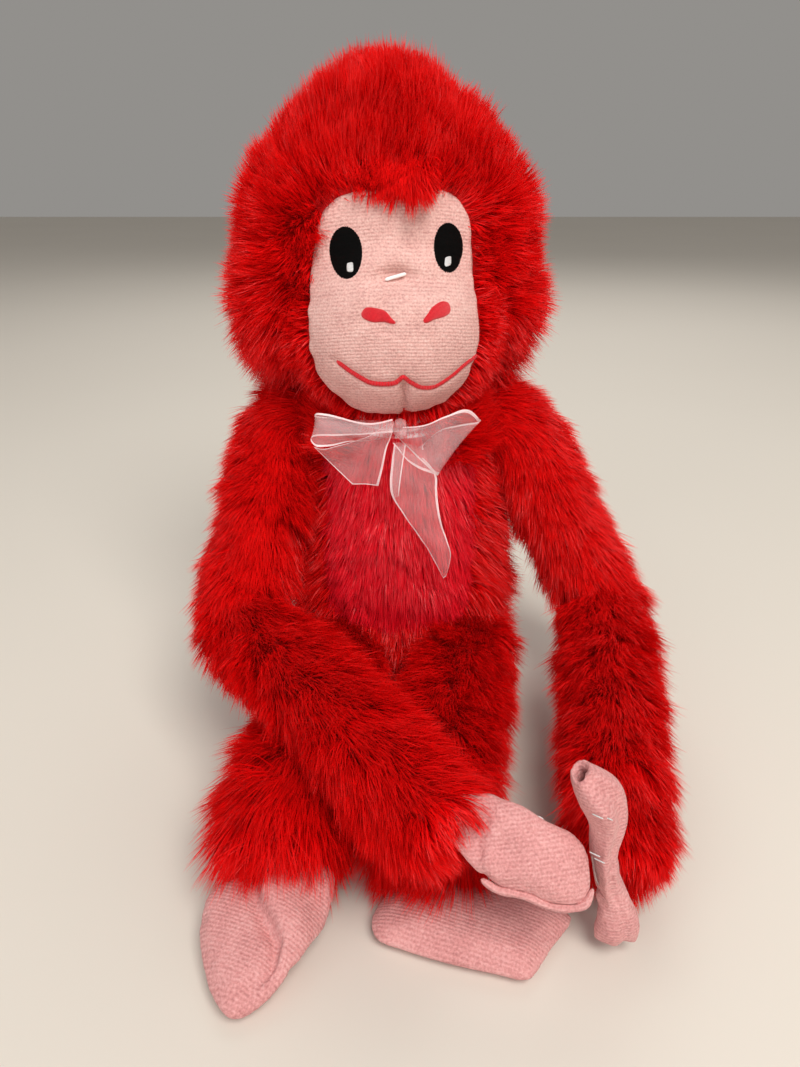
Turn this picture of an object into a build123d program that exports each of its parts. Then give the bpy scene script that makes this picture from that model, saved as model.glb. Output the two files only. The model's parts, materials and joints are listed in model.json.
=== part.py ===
"""Plush monkey with long arms, sitting with its arms round its shins.

Frame: millimetres, +Z up, the monkey faces -Y, and its own left side is +X.
The origin is the middle of the flat seat that it sits on.
Every limb is a sewn link: its skin and its filling narrow to a small ball where the next link is sewn on.
"""

import os
from math import asin, atan2, degrees, hypot, sqrt

from build123d import *

os.makedirs("parts", exist_ok=True)

# ---- cloth and clearances -------------------------------------------------------------------------------------
skin = 1.6  # backing of the long-pile cloth
pile = 8.0  # pile, flattened under the neck ribbon
filling_gap = 0.3  # between a skin and the fibre inside it
seam_gap = 0.7  # between two links that move on each other
turn_gap = 0.3  # between the head and the neck it turns on
stitch_height = 0.7  # satin stitching stands this far off the face
ribbon_cloth = 0.8

# ---- torso: (height, half width, half depth), from the seat up to the neck --------------------------------------
torso_height = 119.7
neck_half_width = 22.0
neck_half_depth = 20.0
seat_half_width = 30.0
seat_half_depth = 21.0
belly_half_width = 38.0
belly_half_depth = 29.0
chest_half_width = 31.0
chest_half_depth = 25.5
torso_sections = [
    (0.0, seat_half_width, seat_half_depth),
    (6.0, seat_half_width + 4.5, seat_half_depth + 3.5),
    (0.2 * torso_height, belly_half_width - 1.0, belly_half_depth - 2.5),
    (0.4 * torso_height, belly_half_width, belly_half_depth),
    (0.6 * torso_height, belly_half_width - 2.5, belly_half_depth - 0.5),
    (0.78 * torso_height, chest_half_width, chest_half_depth),
    (0.9 * torso_height, neck_half_width + 4.5, neck_half_depth + 3.0),
    (torso_height, neck_half_width, neck_half_depth),
]
chest_panel_half_width = 27.0
chest_panel_foot = 34.0
chest_panel_top = 108.0

# ---- head ---------------------------------------------------------------------------------------------------------
head_radii = (48.0, 40.0, 52.0)
head_centre = (-6.0, 8.0, torso_height + turn_gap + head_radii[2])
muzzle_radii = (32.0, 27.5, 28.0)
muzzle_centre = (-2.5, -16.0, torso_height + turn_gap + muzzle_radii[2] - 1.0)
face_centre_x = -1.5
face_half_width = 30.5
face_top = head_centre[2] + 21.0
ear_height = 24.0
ear_reach = 13.0
ear_cloth = 1.5
ear_rise = 32.0  # from the neck to the middle of an ear
ear_forward = 3.0  # the ear's seam lies this far ahead of the head's middle
eye_radii = (5.3, 7.7)
eye_centres = {"right": (-17.1, head_centre[2] + 2.0), "left": (15.3, head_centre[2] + 2.0)}
glint_size = (2.2, 2.6)
nostril_radii = (4.6, 2.2)
nostril_centres = {"right": (-6.5, muzzle_centre[2] + 8.5), "left": (12.0, muzzle_centre[2] + 8.5)}
mouth_line_width = 1.7
tag_bar_length = 9.0
tag_bar_width = 1.1
tag_bar_tilt = 20.0

# ---- limbs --------------------------------------------------------------------------------------------------------
arm_radius = 11.5
arm_joint_radius = 8.5
leg_radius = 15.5
leg_joint_radius = 9.5
upper_arm_length = 77.0
forearm_length = 116.0
leg_length = 88.0
leg_rise = 2.0  # the filled part of a leg lies this far off the table, on its pile
shoulder_height = 104.0
shoulder_y = 4.0
hip_spacing = 25.0
arm_over_leg = 3.0  # between the crossing forearm and the leg below it

# ---- mitts and feet -----------------------------------------------------------------------------------------------
mitt_long_side = 38.0
mitt_short_side = 24.0
mitt_half_width = 15.0
mitt_wrist_half_width = 9.0
mitt_thickness = 6.0
foot_length = 40.0
foot_half_width = 17.0
foot_heel_half_width = 13.0
foot_thickness = 7.0
patch_size = (12.0, 14.0, 1.2)

# ---- bow ----------------------------------------------------------------------------------------------------------
ribbon_width = 10.0
knot_size = (8.0, 9.0)
knot_x = -2.0
knot_depth = 9.0
loop_thickness = 2.4


def export(part, name):
    """Labels a finished piece and writes it to its own file."""
    part.label = name
    export_step(part, f"parts/{name}.step")


# ---- forms that several pieces share ---------------------------------------------------------------------------
def torso_form(grow=0.0):
    """The torso's outer form, offset outwards by `grow`; a negative value also draws the two flat ends in."""
    inset = max(0.0, -grow)
    with BuildPart() as form:
        for height, half_width, half_depth in torso_sections:
            level = inset + height * (torso_height - 2 * inset) / torso_height
            with BuildSketch(Plane.XY.offset(level)):
                Ellipse(half_width + grow, half_depth + grow)
        loft()
    return form.part


def ellipsoid(centre, radii):
    """An ellipsoid with its semi-axes along X, Y and Z."""
    with BuildPart() as ball:
        Sphere(1.0)
        scale(by=tuple(radii))
    return Pos(*centre) * ball.part


def head_form(grow=0.0):
    """Skull, muzzle and neck gusset as one form, offset outwards by `grow`."""
    inset = max(0.0, -grow)
    foot = torso_height + turn_gap + inset
    with BuildPart() as form:
        with BuildSketch(Plane.XY.offset(foot)):
            Ellipse(neck_half_width + grow, neck_half_depth + grow)
        extrude(amount=muzzle_radii[2])
        add(ellipsoid(head_centre, [radius + grow for radius in head_radii]))
        add(ellipsoid(muzzle_centre, [radius + grow for radius in muzzle_radii]))
        split(bisect_by=Plane.XY.offset(foot), keep=Keep.TOP)
    return form.part


def limb_form(start, end, radii, inset=0.0):
    """A sewn limb: a solid of revolution wrapped tightly round balls strung from `start` to `end`.

    `radii` holds (share of the length, ball radius) pairs; `inset` draws the whole surface in.
    """
    length = (end - start).length
    along = (end - start).normalized()
    side = along.cross(Vector(0, 0, 1)).normalized()
    balls = [(share * length, radius - inset) for share, radius in radii]
    slopes = [-90.0]
    for (place, radius), (next_place, next_radius) in zip(balls, balls[1:]):
        slopes.append(degrees(asin((radius - next_radius) / (next_place - place))))
    slopes.append(90.0)
    with BuildPart() as limb:
        with BuildSketch(Plane(origin=start, x_dir=side, z_dir=side.cross(along))):
            with BuildLine():
                corner = Vector(0, balls[0][0] - balls[0][1])
                for index, (place, radius) in enumerate(balls):
                    turn = slopes[index + 1] - slopes[index]
                    arc = CenterArc((0, place), radius, slopes[index], turn)
                    if index > 0:
                        Line(corner, arc @ 0)
                    corner = arc @ 1
                Line(corner, (0, balls[0][0] - balls[0][1]))
            make_face()
        revolve(axis=Axis(start, along))
    return limb.part


def facing_prism(outline, near_y):
    """`outline`, a flat shape in X and Z, pushed forwards from the plane y = near_y."""
    with BuildPart() as prism:
        with BuildSketch(Plane.XZ.offset(-near_y)):
            add(outline)
        extrude(amount=80.0)
    return prism.part


# ---- torso pieces ----------------------------------------------------------------------------------------------
torso_outer = torso_form()
torso_inner = torso_form(-skin)

with BuildSketch() as chest_outline:
    with Locations((0, (chest_panel_foot + chest_panel_top) / 2)):
        RectangleRounded(2 * chest_panel_half_width, chest_panel_top - chest_panel_foot, 18.0)
chest_prism = facing_prism(chest_outline.sketch, 0.0)

with BuildPart() as chest_panel:
    add(torso_outer)
    add(torso_inner, mode=Mode.SUBTRACT)
    add(chest_prism, mode=Mode.INTERSECT)
export(chest_panel.part, "chest_panel")

with BuildPart() as torso_back_panel:
    add(torso_outer)
    add(torso_inner, mode=Mode.SUBTRACT)
    add(chest_prism, mode=Mode.SUBTRACT)
export(torso_back_panel.part, "torso_back_panel")

with BuildPart() as torso_stuffing:
    add(torso_form(-skin - filling_gap))
export(torso_stuffing.part, "torso_stuffing")

label_size = (12.0, 1.0, 18.0)
with BuildPart() as care_label:
    with Locations((0, belly_half_depth + label_size[1], 0.4 * torso_height)):
        Box(label_size[0], 2 * label_size[1], label_size[2])
    add(torso_outer, mode=Mode.SUBTRACT)
export(care_label.part, "care_label")

# ---- head pieces -----------------------------------------------------------------------------------------------
head_outer = head_form()
head_inner = head_form(-skin)
head_stitched = head_form(stitch_height)

face_half_outline = [
    (0.0, face_top),
    (0.66 * face_half_width, face_top - 1.0),
    (0.9 * face_half_width, face_top - 9.0),
    (face_half_width, muzzle_centre[2] + 13.0),
    (0.95 * face_half_width, muzzle_centre[2] - 4.0),
    (0.72 * face_half_width, muzzle_centre[2] - 18.0),
    (0.0, torso_height - 3.0),
]
with BuildSketch() as face_outline:
    with Locations((face_centre_x, 0)):
        with BuildLine():
            side_line = Spline(*face_half_outline, tangents=[(1, 0), (-1, 0)])
            mirror(side_line, about=Plane.YZ)
        make_face()
face_prism = facing_prism(Pos(face_centre_x, 0) * face_outline.sketch, muzzle_centre[1] + 2.0)

with BuildPart() as face_panel:
    add(head_outer)
    add(head_inner, mode=Mode.SUBTRACT)
    add(face_prism, mode=Mode.INTERSECT)
export(face_panel.part, "face_panel")

with BuildPart() as head_fur_hood:
    add(head_outer)
    add(head_inner, mode=Mode.SUBTRACT)
    add(face_prism, mode=Mode.SUBTRACT)
export(head_fur_hood.part, "head_fur_hood")

with BuildPart() as head_stuffing:
    add(head_form(-skin - filling_gap))
export(head_stuffing.part, "head_stuffing")


def stitched(outline, name, cover=head_stitched, ground=head_outer):
    """A patch of stitching in the shape of `outline`, standing on the face."""
    with BuildPart() as patch:
        add(cover)
        add(ground, mode=Mode.SUBTRACT)
        add(facing_prism(outline, 0.0), mode=Mode.INTERSECT)
    export(patch.part, name)


glint_cover = head_form(2 * stitch_height)
for side, (eye_x, eye_z) in eye_centres.items():
    glint_z = eye_z - 0.45 * eye_radii[1]
    with BuildSketch() as eye_outline:
        with Locations((eye_x, eye_z)):
            Ellipse(*eye_radii)
    stitched(eye_outline.sketch, f"eye_{side}")
    with BuildSketch() as glint_outline:
        with Locations((eye_x, glint_z)):
            RectangleRounded(*glint_size, 0.8)
    stitched(glint_outline.sketch, f"eye_glint_{side}", glint_cover, head_stitched)

for side, (nostril_x, nostril_z) in nostril_centres.items():
    with BuildSketch() as nostril_outline:
        with Locations((nostril_x, nostril_z)):
            Ellipse(*nostril_radii)
    stitched(nostril_outline.sketch, f"nostril_{side}")

mouth_foot = muzzle_centre[2] - 13.5
mouth_end = muzzle_centre[2] - 6.5
with BuildSketch() as mouth_outline:
    with BuildLine():
        ThreePointArc((-20.5, mouth_end), (-10.0, mouth_foot), (1.0, mouth_foot + 1.5))
        ThreePointArc((1.0, mouth_foot + 1.5), (13.0, mouth_foot), (25.0, mouth_end + 0.5))
    trace(line_width=mouth_line_width)
stitched(mouth_outline.sketch, "mouth_stitching")

with BuildSketch() as bar_outline:
    with Locations(Location((-1.4, muzzle_centre[2] + 19.5, 0), (0, 0, 1), tag_bar_tilt)):
        SlotOverall(tag_bar_length, tag_bar_width)
stitched(bar_outline.sketch, "tag_bar")

for side, way, lift in (("left", 1, 3.0), ("right", -1, -3.0)):
    root_x = head_centre[0] + way * 0.8 * head_radii[0]
    ear_z = torso_height + ear_rise + lift
    seam_y = head_centre[1] - ear_forward
    for name, near_y in (("front", seam_y), ("back", seam_y + ear_cloth)):
        with BuildPart() as ear:
            with BuildSketch(Plane.XZ.offset(-near_y)):
                with Locations((root_x, ear_z)):
                    Ellipse(ear_reach, ear_height / 2)
            extrude(amount=ear_cloth)
            add(head_outer, mode=Mode.SUBTRACT)
        export(ear.part.solids().sort_by(Axis.X)[-1 if way > 0 else 0], f"ear_{name}_{side}")

# ---- neck ribbon and bow ---------------------------------------------------------------------------------------
ribbon_foot = torso_height - ribbon_width - 1.0
ribbon_cover = torso_form(pile + ribbon_cloth)
with BuildPart() as neck_ribbon:
    add(ribbon_cover)
    add(torso_form(pile), mode=Mode.SUBTRACT)
    with Locations((0, 0, ribbon_foot)):
        Box(200.0, 200.0, ribbon_width, align=(Align.CENTER, Align.CENTER, Align.MIN), mode=Mode.INTERSECT)
export(neck_ribbon.part, "neck_ribbon")

knot_half = knot_size[0] / 2
knot_z = torso_height - 2.7
bow_y = -(neck_half_depth + pile + knot_depth)
with BuildPart() as ribbon_knot:
    with BuildSketch(Plane.XZ.offset(-bow_y - knot_depth)):
        with Locations((knot_x, knot_z)):
            RectangleRounded(*knot_size, 2.5)
    extrude(amount=knot_depth + 2.5)
    add(ribbon_cover, mode=Mode.SUBTRACT)
export(ribbon_knot.part, "ribbon_knot")

knot_foot = -knot_size[1] / 2
bow_outlines = {
    "bow_loop_right": [(-knot_half, 2.5), (-26.5, 6.8), (-27.5, -2.9), (-knot_half, -2.5)],
    "bow_loop_left": [(knot_half, 2.5), (24.0, 6.5), (29.0, 3.6), (24.0, -7.0), (14.5, -15.5), (knot_half, -2.0)],
    "bow_tail_right": [(-3.5, knot_foot), (-27.0, -5.0), (-16.0, -19.3), (-6.5, -21.0), (-0.5, knot_foot)],
    "bow_tail_left": [
        (0.5, knot_foot), (-4.5, -18.0), (0.0, -33.0), (17.5, -58.0), (16.0, -35.0), (12.0, -20.0), (3.5, knot_foot),
    ],
}
for name, corners in bow_outlines.items():
    is_loop = "loop" in name
    front = bow_y - (1.0 if is_loop else -1.0)
    with BuildPart() as bow_piece:
        with BuildSketch(Plane.XZ.offset(-front)):
            with BuildLine():
                Polyline(*[(knot_x + x, knot_z + z) for x, z in corners], close=True)
            make_face()
        extrude(amount=-loop_thickness if is_loop else -ribbon_cloth)
    export(bow_piece.part, name)


# ---- limbs -------------------------------------------------------------------------------------------------------
def sewn_limb(name, start, end, radii):
    """Writes a limb's cloth sleeve and the fibre that fills it."""
    with BuildPart() as sleeve:
        add(limb_form(start, end, radii))
        add(limb_form(start, end, radii, skin), mode=Mode.SUBTRACT)
    export(sleeve.part, f"{name}_sleeve")
    with BuildPart() as stuffing:
        add(limb_form(start, end, radii, skin + filling_gap))
    export(stuffing.part, f"{name}_stuffing")


def reach(start, heading, length, end_height):
    """The point `length` away from `start`, level with `end_height`, along a level heading."""
    fall = end_height - start.Z
    level = sqrt(length * length - fall * fall)
    return start + heading.normalized() * level + Vector(0, 0, fall)


def bent_elbow(shoulder, wrist, outwards):
    """Where the elbow of an arm from shoulder to wrist is, bent towards `outwards`."""
    span = (wrist - shoulder).length
    along = (wrist - shoulder).normalized()
    foot = (upper_arm_length**2 - forearm_length**2 + span**2) / (2 * span)
    height = sqrt(upper_arm_length**2 - foot**2)
    pole = (outwards - along * outwards.dot(along)).normalized()
    return shoulder + along * foot + pole * height


shoulder_x = chest_half_width + arm_joint_radius + 4.5
hip_y = -(belly_half_depth + 3.0)
leg_height = leg_rise + leg_radius
leg_top = leg_height + leg_radius
shoulder_right = Vector(-shoulder_x, shoulder_y, shoulder_height)
shoulder_left = Vector(shoulder_x, shoulder_y, shoulder_height)
wrist_height = leg_top + arm_over_leg + arm_radius - 5.0
elbow_height = leg_top + arm_over_leg + arm_radius + 2.5
elbow_right = reach(shoulder_right, Vector(-14, -52, 0), upper_arm_length, elbow_height)
wrist_right = reach(elbow_right, Vector(68, -92, 0), forearm_length, wrist_height)
wrist_left = wrist_right + Vector(53, 10, -wrist_height + 20.0)
elbow_left = bent_elbow(shoulder_left, wrist_left, Vector(0.575, 0.49, -0.654))
hip_right = Vector(-hip_spacing, hip_y, leg_height)
hip_left = Vector(hip_spacing, hip_y, leg_height)
ankle_right = reach(hip_right, Vector(-10, -88, 0), leg_length, leg_height + 2.0)
ankle_left = reach(hip_left, Vector(-18, -85, 0), leg_length, leg_height - 1.0)

link_end = 2 * arm_joint_radius + seam_gap
for side, shoulder, elbow, wrist in (
    ("right", shoulder_right, elbow_right, wrist_right),
    ("left", shoulder_left, elbow_left, wrist_left),
):
    upper_end = elbow - (elbow - shoulder).normalized() * link_end
    ends = arm_joint_radius
    sewn_limb(f"upper_arm_{side}", shoulder, upper_end, [(0, ends), (0.35, arm_radius), (0.75, arm_radius), (1, ends)])
    sewn_limb(f"forearm_{side}", elbow, wrist, [(0, ends), (0.2, arm_radius), (0.8, arm_radius), (1, ends)])

for side, hip, ankle in (("right", hip_right, ankle_right), ("left", hip_left, ankle_left)):
    ends = leg_joint_radius
    sewn_limb(f"leg_{side}", hip, ankle, [(0, ends), (0.3, leg_radius), (0.72, leg_radius), (1, ends)])


# ---- mitts -------------------------------------------------------------------------------------------------------
def mitt_layer(plane, way, near, far):
    """One layer of a mitt between two heights over its middle plane; its long side is towards way * Y."""
    start = arm_joint_radius + seam_gap
    with BuildPart() as layer:
        with BuildSketch(plane.offset(near)):
            with BuildLine():
                Polyline(
                    (start, -mitt_wrist_half_width),
                    (start, mitt_wrist_half_width),
                    (mitt_long_side if way > 0 else mitt_short_side, mitt_half_width),
                    (mitt_short_side if way > 0 else mitt_long_side, -mitt_half_width),
                    close=True,
                )
            rim = make_face()
            fillet(rim.vertices(), radius=4.0)
        extrude(amount=far - near)
    return layer.part


mitt_frames = {
    "right": (Plane(origin=wrist_right, x_dir=(0.981, -0.173, -0.082), z_dir=(-0.088, -0.786, 0.612)), -1),
    "left": (Plane(origin=wrist_left, x_dir=(-0.465, -0.651, 0.598), z_dir=(0.884, -0.310, 0.350)), -1),
}
for side, (mitt_plane, way) in mitt_frames.items():
    half = mitt_thickness / 2
    export(mitt_layer(mitt_plane, way, -half, 0.0), f"hand_palm_{side}")
    export(mitt_layer(mitt_plane, way, 0.0, half), f"hand_back_{side}")
    with BuildPart() as patch:
        with BuildSketch(mitt_plane.offset(-half)):
            with Locations((mitt_short_side - 2.0, 0)):
                RectangleRounded(patch_size[0], patch_size[1], 2.0)
        extrude(amount=-patch_size[2])
    export(patch.part, f"hand_patch_{side}")


# ---- feet --------------------------------------------------------------------------------------------------------
def foot_layer(plane, near, far):
    """One layer of a foot between two heights over its sole; it runs from its heel along the plane's X."""
    with BuildPart() as layer:
        with BuildSketch(plane.offset(near)):
            with BuildLine():
                Polyline(
                    (0, -foot_heel_half_width),
                    (0, foot_heel_half_width),
                    (foot_length - 3.0, foot_half_width),
                    (foot_length, -foot_half_width),
                    close=True,
                )
            rim = make_face()
            fillet(rim.vertices(), radius=6.0)
        extrude(amount=far - near)
    return layer.part


heel_reach = leg_joint_radius + seam_gap
toe_reach = heel_reach + foot_length
half_foot = foot_thickness / 2
droop = asin(ankle_right.Z / hypot(toe_reach, half_foot)) - atan2(half_foot, toe_reach)
droop_degrees = degrees(droop)
hanging = Plane(origin=ankle_right, x_dir=(0, -1, 0), z_dir=(0, 0, 1)).rotated((droop_degrees, 0, 0))
hanging_sole = Plane(
    origin=ankle_right + hanging.x_dir * heel_reach - hanging.z_dir * half_foot,
    x_dir=hanging.x_dir,
    z_dir=hanging.z_dir,
)
flat_sole = Plane(
    origin=(ankle_left.X - 10.0, ankle_left.Y - foot_half_width - 1.5, 0.0),
    x_dir=(0.94, -0.345, 0),
    z_dir=(0, 0, 1),
)
for side, sole_plane in (("right", hanging_sole), ("left", flat_sole)):
    export(foot_layer(sole_plane, 0.0, half_foot), f"foot_sole_{side}")
    export(foot_layer(sole_plane, half_foot, foot_thickness), f"foot_top_{side}")
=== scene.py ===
"""The looks of a sitting long-armed plush monkey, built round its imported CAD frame."""

import json
import math

import bpy
import numpy as np
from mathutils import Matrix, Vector
from mathutils.kdtree import KDTree


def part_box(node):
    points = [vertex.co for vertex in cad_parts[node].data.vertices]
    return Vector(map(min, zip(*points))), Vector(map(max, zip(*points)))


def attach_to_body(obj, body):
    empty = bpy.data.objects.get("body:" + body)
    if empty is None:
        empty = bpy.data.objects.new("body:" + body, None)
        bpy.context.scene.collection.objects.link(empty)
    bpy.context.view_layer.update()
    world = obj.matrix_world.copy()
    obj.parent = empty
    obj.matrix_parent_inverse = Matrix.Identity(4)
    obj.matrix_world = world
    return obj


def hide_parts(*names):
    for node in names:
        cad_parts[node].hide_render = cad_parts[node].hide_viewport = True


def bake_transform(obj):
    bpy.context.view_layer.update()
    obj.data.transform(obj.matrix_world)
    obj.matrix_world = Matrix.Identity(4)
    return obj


MM = 0.001  # shapes below are in millimetres; meshes are written in metres
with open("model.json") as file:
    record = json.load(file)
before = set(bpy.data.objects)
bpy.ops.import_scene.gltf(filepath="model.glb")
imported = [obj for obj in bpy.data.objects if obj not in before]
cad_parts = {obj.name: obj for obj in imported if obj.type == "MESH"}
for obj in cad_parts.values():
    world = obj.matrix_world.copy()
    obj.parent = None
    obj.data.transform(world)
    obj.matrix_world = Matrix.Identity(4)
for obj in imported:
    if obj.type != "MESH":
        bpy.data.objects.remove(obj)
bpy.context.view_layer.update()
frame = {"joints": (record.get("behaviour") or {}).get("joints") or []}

# ---- places from the frame ----


def box_mm(node):
    """The lowest and highest corner of a CAD node, in millimetres."""
    return [np.array(corner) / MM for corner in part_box(node)]


PIVOT = {joint["name"]: np.array(joint["pos_m"], float) / MM for joint in frame["joints"]}
KNOT_LOW, KNOT_HIGH = box_mm("ribbon_knot")
NECK_Z = box_mm("torso_back_panel")[1][2]
CROWN_Z = box_mm("head_fur_hood")[1][2]

SKULL_CENTRE = np.array([-5.0, 8.0, CROWN_Z - 52.0])
SKULL_RADII = np.array([47.0, 40.0, 52.0])
MUZZLE_CENTRE = np.array([-2.5, -17.0, NECK_Z + 27.3])
MUZZLE_RADII = np.array([33.5, 28.0, 31.5])
MUZZLE_BLEND = 8.0
FACE_SHIFT = SKULL_CENTRE[2] - 172.0  # the face's outlines are given for a skull centre at this height
FACE_FRONT = -8.0  # what lies in front of this y is the head's or the chest's front


# ---- small numeric helpers ----
def unit(vectors):
    """Vectors scaled to length one."""
    length = np.linalg.norm(vectors, axis=-1, keepdims=True)
    return vectors / np.maximum(length, 1e-9)


def smooth_step(low, high, value):
    """0 below low, 1 above high, and smooth between them."""
    t = np.clip((value - low) / (high - low), 0.0, 1.0)
    return t * t * (3.0 - 2.0 * t)


def bump(value, centre, width):
    """A smooth hump of height one."""
    return np.exp(-(((value - centre) / width) ** 2))


def catmull_rom(corners, f):
    """Places on the curve between the middle two of four corners, f of the way along."""
    a, b, c, d = corners
    return 0.5 * (2 * b + (c - a) * f + (2 * a - 5 * b + 4 * c - d) * f**2 + (3 * b - a - 3 * c + d) * f**3)


def smooth_curve(points, samples):
    """A Catmull-Rom curve through the points, sampled evenly in its own parameter."""
    points = np.array(points, float)
    padded = np.vstack([2 * points[0] - points[1], points, 2 * points[-1] - points[-2]])
    t = np.linspace(0, len(points) - 1, samples)
    index = np.minimum(t.astype(int), len(points) - 2)
    return catmull_rom((padded[index + shift] for shift in range(4)), (t - index)[:, None])


def closed_curve(points, samples):
    """A closed Catmull-Rom curve through the points."""
    points = np.array(points, float)
    count = len(points)
    t = np.linspace(0, count, samples, endpoint=False)
    index = t.astype(int)
    return catmull_rom((points[(index + shift) % count] for shift in (-1, 0, 1, 2)), (t - index)[:, None])


def run_length(line):
    """How far along a line of points each of them lies."""
    return np.concatenate([[0], np.cumsum(np.linalg.norm(np.diff(line, axis=0), axis=1))])


def turns(samples):
    """Angles evenly round a full turn, the last one short of the first."""
    return np.linspace(0, 2 * np.pi, samples, endpoint=False)


def fall(vectors, normals):
    """The part of each vector that lies along the cloth."""
    return vectors - normals * (vectors * normals).sum(1, keepdims=True)


def wobble(points, scale, seed):
    """Smooth noise, about -1 to 1, over points in millimetres; `scale` is the size of its waves."""
    rng = np.random.default_rng(seed)
    total = np.zeros(len(points))
    for _ in range(7):
        direction = unit(rng.normal(size=3))
        rate = rng.uniform(0.7, 1.5) * 2 * np.pi / scale
        total += np.sin(points @ direction * rate + rng.uniform(0, 2 * np.pi))
    return total / 3.0


# ---- meshes ----
def new_mesh(name, points, faces, materials, uv=None):
    """A mesh object from points in millimetres and a list of faces or an array of quads."""
    mesh = bpy.data.meshes.new(name)
    mesh.from_pydata((np.asarray(points) * MM).tolist(), [], [list(map(int, face)) for face in faces])
    mesh.validate()
    mesh.shade_smooth()
    for material in materials:
        mesh.materials.append(material)
    if uv is not None:
        layer = mesh.uv_layers.new(name="Cloth")
        corner = np.empty(len(mesh.loops), np.int32)
        mesh.loops.foreach_get("vertex_index", corner)
        layer.uv.foreach_set("vector", np.asarray(uv, np.float32)[corner].ravel())
    obj = bpy.data.objects.new(name, mesh)
    bpy.context.scene.collection.objects.link(obj)
    return obj


def grid_faces(rows, columns, wrap=False, first=0):
    """Quads of a grid of points stored row by row; `wrap` closes it along its columns."""
    across = columns if wrap else columns - 1
    row, column = np.meshgrid(np.arange(rows - 1), np.arange(across), indexing="ij")
    right = (column + 1) % columns
    a = row * columns + column
    b = row * columns + right
    return np.stack([a, b, b + columns, a + columns], -1).reshape(-1, 4) + first


def tube(path, radii, around=24, flat=1.0, up=(0, 0, 1)):
    """Points and quads of a tube along a path; `flat` squashes it along the direction nearest to `up`."""
    path = np.asarray(path, float)
    tangent = unit(np.gradient(path, axis=0))
    side = unit(np.cross(tangent, np.array(up, float)))
    top = np.cross(side, tangent)
    turn = turns(around)
    ring = np.cos(turn)[None, :, None] * side[:, None] + flat * np.sin(turn)[None, :, None] * top[:, None]
    points = path[:, None] + np.asarray(radii)[:, None, None] * ring
    return points.reshape(-1, 3), grid_faces(len(path), around, wrap=True)[:, ::-1]


def close_ends(faces, rows, around, ends=(True, True)):
    """Adds fans from a tube's first and last ring to the two points that follow its rings."""
    last = (rows - 1) * around
    for column in range(around):
        after = (column + 1) % around
        if ends[0]:
            faces.append((column, after, rows * around))
        if ends[1]:
            faces.append((last + after, last + column, rows * around + 1))
    return faces


def capped_tube(path, radii, around=24, flat=1.0, up=(0, 0, 1), ends=(True, True)):
    """A tube with its ends closed by fans, both or the ones asked for."""
    points, quads = tube(path, radii, around, flat, up)
    points = np.vstack([points, path[0], path[-1]])
    return points, close_ends([tuple(quad) for quad in quads], len(path), around, ends)


def polar_patch(outline, rings, centre=None):
    """Flat points filling a closed outline in rings about its middle, with their share of the way out."""
    outline = np.asarray(outline, float)
    middle = outline.mean(0) if centre is None else np.asarray(centre, float)
    share = np.linspace(0, 1, rings + 1)[1:]
    points = middle + share[:, None, None] * (outline - middle)[None]
    flat = np.vstack([middle[None], points.reshape(-1, outline.shape[1])])
    count = len(outline)
    faces = [(0, 1 + column, 1 + (column + 1) % count) for column in range(count)]
    faces += [tuple(quad) for quad in grid_faces(rings, count, wrap=True, first=1)[:, ::-1]]
    return flat, faces, np.concatenate([[0.0], np.repeat(share, count)])


# ---- materials ----
def set_sockets(node, **values):
    """Sets a node's own sockets; an underscore in a name stands for a space."""
    for socket, value in values.items():
        node.inputs[socket.replace("_", " ")].default_value = value


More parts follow.
